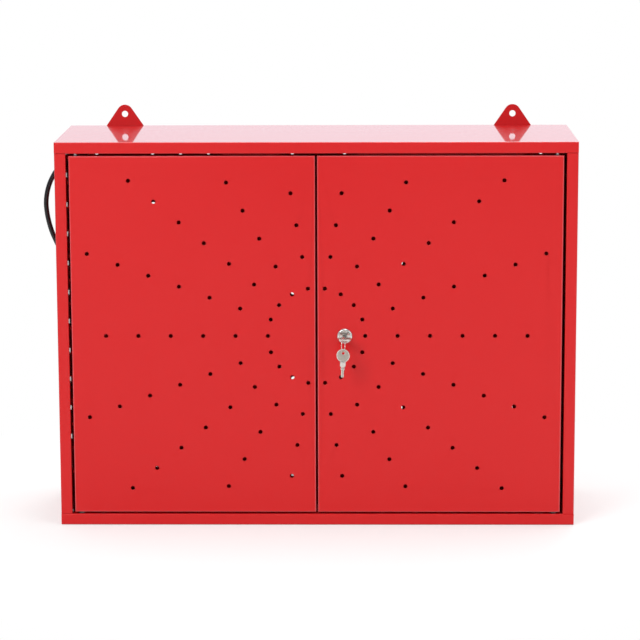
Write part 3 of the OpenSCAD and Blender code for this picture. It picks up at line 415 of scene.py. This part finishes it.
# %% Worked copies
SHEET_WELD, FITTING_WELD = 0.002, 0.03
CORNER_ANGLE = 34
LEVEL = 0.9999


def show(name, mesh, node_name, material, *more_nodes):
    """An object with that mesh, tied to the node's body, in place of the node and any more."""
    made = bpy.data.objects.new(name, mesh)
    scene.collection.objects.link(made)
    if not mesh.materials:
        mesh.materials.append(material)
    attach(made, body_of[node_name])
    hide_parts(node_name, *more_nodes)
    return made


def welded_mesh(node_name, name, flats):
    """A copy of a node's mesh in the shared frame, with its triangles welded into one skin."""
    source = nodes[node_name]
    work = bmesh.new()
    work.from_mesh(source.data)
    work.transform(source.matrix_world)
    bmesh.ops.remove_doubles(work, verts=work.verts, dist=(SHEET_WELD if flats else FITTING_WELD) * MM)
    bmesh.ops.recalc_face_normals(work, faces=work.faces)
    for face in work.faces:
        face.smooth = not flats or max(abs(part) for part in face.normal) < LEVEL
    mesh = bpy.data.meshes.new(name)
    work.to_mesh(mesh)
    work.free()
    return mesh


def work_copy(node_name, edge, material=None, segments=2, flats=False):
    """Shows a node with edges rounded to that width in millimetres, its level faces flat if asked."""
    name = node_name + "_worked"
    material = material or finish_of[slot_of[node_name]]
    made = show(name, welded_mesh(node_name, name, flats), node_name, material)
    if not edge:
        return made
    bevel = made.modifiers.new("round edges", "BEVEL")
    bevel.limit_method = "ANGLE"
    bevel.angle_limit = math.radians(CORNER_ANGLE)
    bevel.width = edge * MM
    bevel.segments = segments
    bevel.use_clamp_overlap = False
    bevel.harden_normals = False
    normals = made.modifiers.new("flat faces stay flat", "WEIGHTED_NORMAL")
    normals.weight = 100
    normals.keep_sharp = True
    return made


# %% [markdown]
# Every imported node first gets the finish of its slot, so that none is ever left grey. The pieces that
# the next steps work on take the same finish, unless the step names another.

# %% Finishes by slot
finish_of = {"red_paint": red_paint, "zinc_steel": zinc, "chrome": chrome, "black_cable": black_sheath,
             "black_plastic": black_plastic, "white_plastic": white_plastic, "opal_plastic": opal_plastic,
             "circuit_board": circuit_board, "light_chip": light_chip}
for part in frame["record"]["subparts"]:
    node = nodes[part["node"]]
    node.data.materials.clear()
    node.data.materials.append(finish_of[part["material_slot"]])
lead.data.materials.append(black_sheath)
print("finished", len(nodes), "nodes")

# %% [markdown]
# The sheet parts get a narrow edge, about 0.2 mm, since most of the sheet is only one millimetre thick.
# The doors are pans with round rims, and those rims get the lighter coat, a painted highlight. A rim's
# faces are the ones that look partly forward and partly sideways.

# %% Sheet parts
SHEET_EDGE, EAR_EDGE = 0.22, 0.3
RIM_FROM, RIM_TO = 0.1, 0.98
for node_name in ("top_panel", "bottom_panel", "left_side_panel", "right_side_panel", "back_panel",
                  "left_door", "right_door", "top_door_stop", "bottom_door_stop"):
    work_copy(node_name, SHEET_EDGE, flats=True)
# The doors' rim faces take the lighter coat: a painted highlight.
for node_name in ("left_door", "right_door"):
    mesh = bpy.data.objects[node_name + "_worked"].data
    mesh.materials.append(rim_painted_highlight_coat)
    rims = [face for face in mesh.polygons if RIM_FROM < -face.normal.y < RIM_TO]
    for face in rims:
        face.material_index = 1
    print(node_name, "has", len(rims), "faces in its round rims")
# The ears take the darker red: painted shade.
work_copy("hanging_ears", EAR_EDGE, ear_painted_shade_coat, flats=True)
print("sheet parts worked")

# %% [markdown]
# The fittings are pressed, turned, cast or moulded, and each gets the edge that its size has room for.
# The plug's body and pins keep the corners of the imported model, since their facets are too small.

# %% Fittings
FITTING_EDGES = {
    "hinge_pins": 0.6, "left_door_bushes": 0.4, "right_door_bushes": 0.4, "bolt_guides": 0.3,
    "door_bolt": 0.2,
    "lock_housing": 0.3, "lock_nut": 0.3, "lock_plug": 0.15, "lock_cam": 0.3, "cam_screw": 0.3,
    "lamp_housing": 0.3, "lamp_end_caps": 0.7, "lamp_board": 0.1, "lamp_chips": 0.1, "lamp_driver": 0.8,
    "lamp_rocker": 0.1, "lamp_brackets": 0.3, "lamp_screws": 0.3, "outlet_nut": 0.3, "lead_clips": 0.4,
    "coil_tie": 0.3, "plug_body": 0, "inner_lead": 0.7, "plug_contacts": 0, "plug_earth_clips": 0.2}
for node_name, edge in FITTING_EDGES.items():
    # The bushes take the dark zinc: painted shade.
    material = zinc_darkened_as_painted_shade if node_name.endswith("bushes") else None
    work_copy(node_name, edge, material, segments=3)
print("fittings worked:", len(FITTING_EDGES))

# %% [markdown]
# A small cut key is stamped from nickel silver. Its bow has a raised rim and a thinner middle, its neck
# tapers to a stop, and a groove is milled along the blade between two lands. One land has the cuts.
# It is built flat, lengths along Y from the stop, and then laid in its place.

# %% Key
BOW_R, NECK_L, NECK_W, BLADE_W, BLADE_L, KEY_T = 8.3, 9.1, 7.0, 3.5, 10.0, 1.6
STOP_W, STOP_L, NECK_SLOPE, HOLE_OFF, HOLE_R = 5.4, 1.6, 2.0, 3.2, 1.95
RIM_W, RIM_H, COLLAR_W, GROOVE = 1.15, 0.28, 0.55, 0.3
PLATE_IN, COLLAR_DROP, HIGH_DROP, NECK_IN, NECK_GAP = 0.4, 0.12, 0.13, 1.6, 0.8
CUTS, CUT_DEPTH, CUT_FIRST, CUT_STEP, TIP = 4, 0.75, 1.6, 1.9, 1.0
BOW_MID = -NECK_L - BOW_R
SHARP_ANGLE, CREASE_ANGLE = 40, 30


def loop_points(middle, radius, count):
    """Points round a circle."""
    return [(middle[0] + radius * math.cos(2 * math.pi * i / count),
             middle[1] + radius * math.sin(2 * math.pi * i / count)) for i in range(count)]


def slab(work, outline, low, high):
    """A flat solid with that outline (counterclockwise), between two heights."""
    rings = [[work.verts.new((x * MM, y * MM, z * MM)) for x, y in outline] for z in (low, high)]
    work.faces.new(list(reversed(rings[0])))
    work.faces.new(rings[1])
    count = len(outline)
    for i in range(count):
        j = (i + 1) % count
        work.faces.new((rings[0][i], rings[0][j], rings[1][j], rings[1][i]))


def holed_slab(work, outer, inner, low, high):
    """A flat solid between two outlines with the same number of points."""
    loops = [[work.verts.new((x * MM, y * MM, z * MM)) for x, y in outline]
             for z in (low, high) for outline in (outer, inner)]
    sides = ((loops[0], loops[2]), (loops[2], loops[3]), (loops[3], loops[1]), (loops[1], loops[0]))
    count = len(outer)
    for i in range(count):
        j = (i + 1) % count
        for a, b in sides:
            work.faces.new((a[i], a[j], b[j], b[i]))


def mesh_from(work, name, matrix, edge):
    """Ends a mesh: rounds its edges, sets its normals and lays it in its place."""
    bmesh.ops.recalc_face_normals(work, faces=work.faces)
    sharp = [e for e in work.edges
             if len(e.link_faces) == 2 and e.calc_face_angle() > math.radians(SHARP_ANGLE)]
    if edge:
        bmesh.ops.bevel(work, geom=sharp, offset=edge * MM, segments=2, profile=0.6, affect="EDGES",
                        clamp_overlap=True)
    work.transform(matrix)
    for face in work.faces:
        face.smooth = True
    for e in work.edges:
        e.smooth = len(e.link_faces) != 2 or e.calc_face_angle() < math.radians(CREASE_ANGLE)
    mesh = bpy.data.meshes.new(name)
    work.to_mesh(mesh)
    work.free()
    return mesh


def key_mesh(name, matrix):
    """A key's mesh. Its highest flats get the second material."""
    work = bmesh.new()
    middle, hole = (0, BOW_MID), (0, BOW_MID - HOLE_OFF)
    count, half = 64, KEY_T / 2
    around_hole = loop_points(hole, HOLE_R, count)
    rim_out, rim_in = loop_points(middle, BOW_R, count), loop_points(middle, BOW_R - RIM_W, count)
    plate_edge = loop_points(middle, BOW_R - PLATE_IN, count)
    holed_slab(work, plate_edge, around_hole, -half + RIM_H, half - RIM_H)
    holed_slab(work, rim_out, rim_in, -half, half)
    holed_slab(work, loop_points(hole, HOLE_R + COLLAR_W, count), around_hole,
               -half + COLLAR_DROP, half - COLLAR_DROP)
    neck_end = -STOP_L - NECK_GAP
    neck_top = BOW_MID + BOW_R - NECK_IN
    neck = [(-BLADE_W / 2, neck_end), (BLADE_W / 2, neck_end), (NECK_W / 2, neck_end - NECK_SLOPE),
            (NECK_W / 2, neck_top), (-NECK_W / 2, neck_top), (-NECK_W / 2, neck_end - NECK_SLOPE)]
    slab(work, neck[::-1], -half, half)
    stop = [(-STOP_W / 2, -STOP_L), (STOP_W / 2, -STOP_L), (STOP_W / 2, 0), (-STOP_W / 2, 0)]
    slab(work, stop, -half, half)
    toothed = [(BLADE_W / 2, neck_end)]
    for i in range(CUTS):
        at = CUT_FIRST + i * CUT_STEP
        drop = CUT_DEPTH * (0.65 + 0.35 * ((i * 2) % 3) / 2)
        toothed += [(BLADE_W / 2, at), (BLADE_W / 2 - drop, at + 0.55), (BLADE_W / 2 - drop, at + 0.85),
                    (BLADE_W / 2, at + 1.4)]
    toothed += [(BLADE_W / 2, BLADE_L - TIP), (BLADE_W / 2 - TIP, BLADE_L)]
    blade = ([(-BLADE_W / 2, neck_end)] + toothed
             + [(-BLADE_W / 2 + TIP, BLADE_L), (-BLADE_W / 2, BLADE_L - TIP)])
    slab(work, blade, -half + GROOVE, half - GROOVE)
    plain_land = [(-BLADE_W / 2, neck_end), (-0.45, neck_end), (-0.45, BLADE_L - 0.2),
                  (-BLADE_W / 2 + TIP, BLADE_L - 0.1), (-BLADE_W / 2, BLADE_L - TIP)]
    slab(work, plain_land, -half, half)
    slab(work, [(0.35, neck_end)] + toothed[:-1] + [(0.35, BLADE_L - 0.3)], -half, half)
    # The highest flats, the bow's rim and the lands, take the lighter nickel: a painted highlight.
    for face in work.faces:
        if all(abs(v.co.z) > (half - HIGH_DROP) * MM for v in face.verts):
            face.material_index = 1
    return mesh_from(work, name, matrix, 0.1)


def show_key(node_name, place):
    """Shows a cut key in place of the node, its rim and lands lighter, a painted highlight."""
    name = node_name + "_cut"
    made = show(name, key_mesh(name, place), node_name, key_nickel)
    made.data.materials.append(bright_nickel_and_painted_highlight)


lock_mid = sum(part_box("lock_housing"), Vector()) / 2
fitted_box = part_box("fitted_key")
key_root_y = fitted_box[0].y + (2 * BOW_R + NECK_L) * MM
fitted_place = Matrix.Translation((lock_mid.x, key_root_y, lock_mid.z))
show_key("fitted_key", fitted_place)

RING_R, RING_WIRE, RING_YAW, SPARE_LEAN, SPARE_DROP = 9.0, 1.3, 13.0, 2.0, 10.0
joint_of = {joint["name"]: joint for joint in frame["record"]["behaviour"]["joints"]}
ring_mid = Vector(joint_of["loose_key_slide"]["pos_m"])
spare_turn = (Matrix.Rotation(math.radians(-RING_YAW), 4, "Z")
              @ Matrix.Rotation(math.radians(SPARE_LEAN), 4, "Y")
              @ Matrix.Rotation(math.radians(-90), 4, "X"))
spare_place = (Matrix.Translation(ring_mid - Vector((0, 0, SPARE_DROP * MM))) @ spare_turn
               @ Matrix.Translation((0, (NECK_L + BOW_R + HOLE_OFF) * MM, 0)))
show_key("spare_key", spare_place)
for node_name in ("fitted_key", "spare_key"):
    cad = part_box(node_name)
    mesh = bpy.data.objects[node_name + "_cut"].data
    seen = [min(v.co[k] for v in mesh.vertices) - cad[0][k] for k in range(3)]
    print(node_name, "low corner off by", [round(x * 1000, 2) for x in seen], "mm")

# %% [markdown]
# What repeats or follows a rule is made by geometry nodes. Each rule below has named inputs and gives one
# plain mesh. A helper runs it and keeps the result, so that nothing depends on it later.

# %% Helpers for rules
def new_rule(name, inputs):
    """A geometry node group with those inputs (name: default) and one mesh output."""
    group = bpy.data.node_groups.new(name, "GeometryNodeTree")
    group.is_modifier = True
    group.interface.new_socket("Geometry", in_out="INPUT", socket_type="NodeSocketGeometry")
    for title, value in inputs.items():
        kind = {int: "NodeSocketInt", float: "NodeSocketFloat"}.get(type(value), "NodeSocketMaterial")
        socket = group.interface.new_socket(title, in_out="INPUT", socket_type=kind)
        if value is not None:
            socket.default_value = value
    group.interface.new_socket("Geometry", in_out="OUTPUT", socket_type="NodeSocketGeometry")
    return group, group.nodes.new("NodeGroupInput"), group.nodes.new("NodeGroupOutput")


def run_rule(name, group, values, matrix):
    """The mesh that a rule gives with those values, laid in its place."""
    holder = bpy.data.objects.new(name, bpy.data.meshes.new(name))
    scene.collection.objects.link(holder)
    modifier = holder.modifiers.new(name, "NODES")
    modifier.node_group = group
    for item in group.interface.items_tree:
        if item.in_out == "INPUT" and item.name in values:
            modifier[item.identifier] = values[item.name]
    graph = bpy.context.evaluated_depsgraph_get()
    mesh = bpy.data.meshes.new_from_object(holder.evaluated_get(graph))
    bpy.data.objects.remove(holder)
    mesh.transform(matrix)
    mesh.name = name
    return mesh


# %% [markdown]
# A split ring is one flattened steel wire, wound nearly twice round, so that a key can be threaded on.
# The rule winds it as a low spiral and sweeps an oval along it.

# %% Split ring
ring_rule, given, result = new_rule("split ring", {
    "Radius": 0.009, "Wire": 0.0013, "Turns": 1.92, "Finish": None})
half_wire = maths(ring_rule, "MULTIPLY", given.outputs["Wire"], 0.5)
rise = maths(ring_rule, "MULTIPLY", half_wire, 0.99)
spiral = add(ring_rule, "GeometryNodeCurveSpiral", inputs={
    "Resolution": 72, "Rotations": given.outputs["Turns"], "Start Radius": given.outputs["Radius"],
    "End Radius": given.outputs["Radius"], "Height": rise})
upright = add(ring_rule, "GeometryNodeSetCurveNormal", inputs={"Curve": spiral.outputs[0]})
upright.mode = "Z_UP"
oval = add(ring_rule, "GeometryNodeCurvePrimitiveCircle", inputs={"Resolution": 16, "Radius": half_wire})
flat = add(ring_rule, "GeometryNodeTransform", inputs={
    "Geometry": oval.outputs[0], "Scale": (1.0, 0.49, 1.0)})
swept = add(ring_rule, "GeometryNodeCurveToMesh", inputs={
    "Curve": upright.outputs[0], "Profile Curve": flat.outputs[0], "Fill Caps": True})
shift = add(ring_rule, "ShaderNodeCombineXYZ", inputs={2: maths(ring_rule, "MULTIPLY", rise, -0.5)})
moved = add(ring_rule, "GeometryNodeTransform", inputs={
    "Geometry": swept.outputs[0], "Translation": shift.outputs[0]})
real = add(ring_rule, "GeometryNodeRealizeInstances", inputs={"Geometry": moved.outputs[0]})
painted = add(ring_rule, "GeometryNodeSetMaterial", inputs={
    "Geometry": real.outputs[0], "Material": given.outputs["Finish"]})
ring_rule.links.new(painted.outputs[0], result.inputs[0])
ring_place = (Matrix.Translation(ring_mid) @ Matrix.Rotation(math.radians(-RING_YAW), 4, "Z")
              @ Matrix.Rotation(math.radians(90), 4, "Y") @ Matrix.Rotation(math.radians(20), 4, "Z"))
ring_mesh = run_rule("split_ring", ring_rule, {
    "Radius": RING_R * MM, "Wire": RING_WIRE * MM, "Finish": bright_nickel_and_painted_highlight}, ring_place)
show("split_ring", ring_mesh, "key_ring", bright_nickel_and_painted_highlight)
print("split ring", len(ring_mesh.polygons), "faces")

# %% [markdown]
# The strain relief is moulded in soft black plastic. Slots all round let it bend, so it looks like
# a stack of discs that get smaller towards the tip, threaded on a thinner core, behind a thick flange.

# %% Strain relief
relief_rule, given, result = new_rule("stack of discs", {
    "Count": 6, "Length": 0.02, "First Radius": 0.0055, "Last Radius": 0.0037, "Disc": 0.0022,
    "Finish": None})
line = add(relief_rule, "GeometryNodeMeshLine", mode="END_POINTS", inputs={
    "Count": given.outputs["Count"]})
index = add(relief_rule, "GeometryNodeInputIndex")
share = maths(relief_rule, "DIVIDE", index.outputs[0],
              maths(relief_rule, "SUBTRACT", given.outputs["Count"], 1.0))
span = maths(relief_rule, "SUBTRACT", given.outputs["Length"], given.outputs["Disc"])
half_disc = maths(relief_rule, "MULTIPLY", given.outputs["Disc"], 0.5)
height = maths(relief_rule, "ADD", maths(relief_rule, "MULTIPLY", share, span), half_disc)
spot = add(relief_rule, "ShaderNodeCombineXYZ", inputs={2: height})
spread = add(relief_rule, "GeometryNodeSetPosition", inputs={
    "Geometry": line.outputs[0], "Position": spot.outputs[0]})
disc = add(relief_rule, "GeometryNodeMeshCylinder", inputs={
    "Vertices": 48, "Radius": given.outputs["First Radius"], "Depth": given.outputs["Disc"]})
thinner = maths(relief_rule, "DIVIDE", given.outputs["Last Radius"], given.outputs["First Radius"])
size = add(relief_rule, "ShaderNodeMapRange", inputs={"Value": share, "To Min": 1.0, "To Max": thinner})
sizes = add(relief_rule, "ShaderNodeCombineXYZ", inputs={0: size.outputs[0], 1: size.outputs[0], 2: 1.0})
discs = add(relief_rule, "GeometryNodeInstanceOnPoints", inputs={
    "Points": spread.outputs[0], "Instance": disc.outputs[0], "Scale": sizes.outputs[0]})
real = add(relief_rule, "GeometryNodeRealizeInstances", inputs={"Geometry": discs.outputs[0]})
painted = add(relief_rule, "GeometryNodeSetMaterial", inputs={
    "Geometry": real.outputs[0], "Material": given.outputs["Finish"]})
relief_rule.links.new(painted.outputs[0], result.inputs[0])


def turned(work, matrix, profile, count=48):
    """Adds a solid turned about Z from (radius, height) pairs, laid in its place."""
    rings = []
    for radius, height in profile:
        spots = [Vector((x, y, height)) * MM for x, y in loop_points((0, 0), radius, count)]
        rings.append([work.verts.new(matrix @ spot) for spot in spots])
    for low, high in zip(rings, rings[1:]):
        for i in range(count):
            j = (i + 1) % count
            work.faces.new((low[i], low[j], high[j], high[i]))
    work.faces.new(list(reversed(rings[0])))
    work.faces.new(rings[-1])


def join_mesh(work, mesh):
    """Adds a mesh to the work and drops it."""
    work.from_mesh(mesh)
    bpy.data.meshes.remove(mesh)


relief_turn = relief_dir.to_track_quat("Z", "Y").to_matrix().to_4x4()
relief_place = Matrix.Translation(OUTLET) @ relief_turn
DISCS_FROM = 4
discs_place = Matrix.Translation(OUTLET + DISCS_FROM * MM * relief_dir) @ relief_turn
work = bmesh.new()
join_mesh(work, run_rule("relief_discs", relief_rule, {
    "Count": 5, "Length": 16 * MM, "First Radius": 5.1 * MM, "Last Radius": 3.7 * MM, "Disc": 1.9 * MM,
    "Finish": black_plastic}, discs_place))
CORE = [(4.2, 1), (4.2, 2), (3.45, 19.6), (3.4, 19.8)]
FLANGE = [(8, 0), (8, 1.7), (7.7, 2.2), (7.2, 2.5), (5.6, 2.5), (5.2, 3.4), (3.4, 4.6)]
SHANK = [(5, 0), (5, 10.6), (4.6, 11)]
turned(work, relief_place, CORE)
turned(work, Matrix.Translation(OUTLET) @ Matrix.Rotation(math.radians(-90), 4, "Y"), FLANGE)
turned(work, Matrix.Translation(OUTLET) @ Matrix.Rotation(math.radians(90), 4, "Y"), SHANK)
relief_mesh = mesh_from(work, "strain_relief_slotted", Matrix.Identity(4), 0.15)
show("strain_relief_slotted", relief_mesh, "strain_relief", black_plastic)
print("strain relief", len(relief_mesh.polygons), "faces")

# %% [markdown]
# The lamp's cover is an extruded opal strip. Fine flutes run along it and spread the light of the chips.

# %% Fluted cover
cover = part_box("lamp_diffuser")
work = bmesh.new()
FLUTES, FLUTE_DEPTH, FLUTE_SIDES = 18, 0.5 * MM, 6
step = (cover[1].y - cover[0].y) / FLUTES
valley = cover[0].z + FLUTE_DEPTH
profile = [(cover[0].y, cover[1].z), (cover[0].y, valley)]
for i in range(FLUTES):
    for k in range(1, FLUTE_SIDES):
        angle = math.pi * k / FLUTE_SIDES
        profile.append((cover[0].y + step * (i + 0.5 - 0.5 * math.cos(angle)),
                        valley - FLUTE_DEPTH * math.sin(angle)))
profile += [(cover[1].y, valley), (cover[1].y, cover[1].z)]
ends = [[work.verts.new((x, y, z)) for y, z in profile] for x in (cover[0].x, cover[1].x)]
work.faces.new(ends[0])
work.faces.new(list(reversed(ends[1])))
for i in range(len(profile)):
    j = (i + 1) % len(profile)
    work.faces.new((ends[0][i], ends[0][j], ends[1][j], ends[1][i]))
cover_mesh = mesh_from(work, "fluted_cover", Matrix.Identity(4), 0)
show("fluted_cover", cover_mesh, "lamp_diffuser", opal_plastic)
print("cover with", FLUTES, "flutes")

# %% [markdown]
# The studio is white all round. What only the camera sees is plain white, and what shiny paint and metal
# mirror is brighter behind the cabinet than in front of it, where the photographer's room is darker.

# %% World
world = bpy.data.worlds.new("studio")
scene.world = world
world.use_nodes = True
tree = world.node_tree
background = tree.nodes["Background"]
background.inputs["Color"].default_value = (1, 1, 1, 1)
path = add(tree, "ShaderNodeLightPath")
direction = add(tree, "ShaderNodeTexCoord")
axes = add(tree, "ShaderNodeSeparateXYZ", inputs={0: direction.outputs["Generated"]})
FRONT_MIRRORED, REAR_MIRRORED = 0.22, 0.97
FRONT_ENDS, REAR_BEGINS = -0.6, 0.5
MIRROR_TINT = (1.0, 0.985, 1.06, 1)
mirrored = ramp(tree, axes.outputs["Y"], FRONT_ENDS, REAR_BEGINS, FRONT_MIRRORED, REAR_MIRRORED)
AMBIENT = 0.56
shiny = add(tree, "ShaderNodeMath", operation="MAXIMUM", inputs={
    0: path.outputs["Is Glossy Ray"], 1: path.outputs["Is Transmission Ray"]})
light_or_mirror = add(tree, "ShaderNodeMix", data_type="FLOAT", inputs={
    0: shiny.outputs[0], 2: AMBIENT, 3: mirrored})
seen = add(tree, "ShaderNodeMix", data_type="FLOAT", inputs={
    0: path.outputs["Is Camera Ray"], 2: light_or_mirror.outputs[0], 3: 1.0})
tree.links.new(seen.outputs[0], background.inputs["Strength"])
cool = add(tree, "ShaderNodeMix", data_type="RGBA", inputs={
    0: shiny.outputs[0], 6: (1, 1, 1, 1), 7: MIRROR_TINT})
tree.links.new(cool.outputs[2], background.inputs["Color"])
print("studio, mirrored", REAR_MIRRORED, "bright behind and", FRONT_MIRRORED, "in front")

# %% [markdown]
# The cabinet stands on a pale floor. Near it the floor takes a soft shadow, and farther out it fades
# to plain white, so that no horizon shows.

# %% Floor
FLOOR_HALF = 6.0
FLOOR_Z = -0.4 * MM
FLOOR_GREY, FLOOR_GLOW = 0.7, 0.35
SHADE_ENDS_FROM, SHADE_ENDS_TO = 0.3, 0.62
floor_mesh = bpy.data.meshes.new("floor")
floor_corners = [(x * FLOOR_HALF, y * FLOOR_HALF, FLOOR_Z)
                 for x, y in ((-1, -1), (1, -1), (1, 1), (-1, 1))]
floor_mesh.from_pydata(floor_corners, [], [(0, 1, 2, 3)])
floor = bpy.data.objects.new("floor", floor_mesh)
scene.collection.objects.link(floor)
floor_material, tree, shader = new_material("studio_floor", Roughness=0.9)
shader.inputs["Specular IOR Level"].default_value = 0.0
shader.inputs["Base Color"].default_value = (FLOOR_GREY, FLOOR_GREY, FLOOR_GREY, 1)
place = add(tree, "ShaderNodeTexCoord")
away = add(tree, "ShaderNodeVectorMath", operation="LENGTH", inputs={0: place.outputs["Object"]})
plain = ramp(tree, away.outputs["Value"], SHADE_ENDS_FROM, SHADE_ENDS_TO, 0.0, 1.0)
path = add(tree, "ShaderNodeLightPath")
near_glow = add(tree, "ShaderNodeEmission", inputs={
    "Strength": maths(tree, "MULTIPLY", path.outputs["Is Camera Ray"], FLOOR_GLOW)})
lit = add(tree, "ShaderNodeAddShader", inputs={0: shader.outputs[0], 1: near_glow.outputs[0]})
white = add(tree, "ShaderNodeEmission", inputs={"Strength": 1.0})
plain_for_camera = maths(tree, "MULTIPLY", path.outputs["Is Camera Ray"], plain)
both = add(tree, "ShaderNodeMixShader", inputs={
    0: plain_for_camera, 1: lit.outputs[0], 2: white.outputs[0]})
tree.links.new(both.outputs[0], tree.nodes["Material Output"].inputs["Surface"])
floor_mesh.materials.append(floor_material)
print("floor", 2 * FLOOR_HALF, "m square")

# %% [markdown]
# Large soft boxes give the level light of a catalogue photograph. The strongest stands in front on
# the left, a weaker one fills in from the right, and two from above and behind lift the roof.

# %% Lamps
def soft_lamp(name, place, target, size, watts):
    """A square soft box at place that points at target."""
    data = bpy.data.lights.new(name, "AREA")
    data.size = size
    data.energy = watts
    lamp = bpy.data.objects.new(name, data)
    lamp.location = place
    lamp.rotation_euler = (Vector(target) - Vector(place)).to_track_quat("-Z", "Y").to_euler()
    scene.collection.objects.link(lamp)
    return lamp


MIDDLE = (0, 0, 0.25)
soft_lamp("key", (-1.6, -2.6, 2.1), MIDDLE, 1.4, 47.5)
soft_lamp("fill", (2.2, -2.2, 1.2), MIDDLE, 1.6, 18)
soft_lamp("top", (0.2, 0.3, 2.6), MIDDLE, 1.8, 22)
soft_lamp("rear", (0.8, 2.6, 2.8), MIDDLE, 1.4, 22)
print("four soft lamps aimed at", MIDDLE)
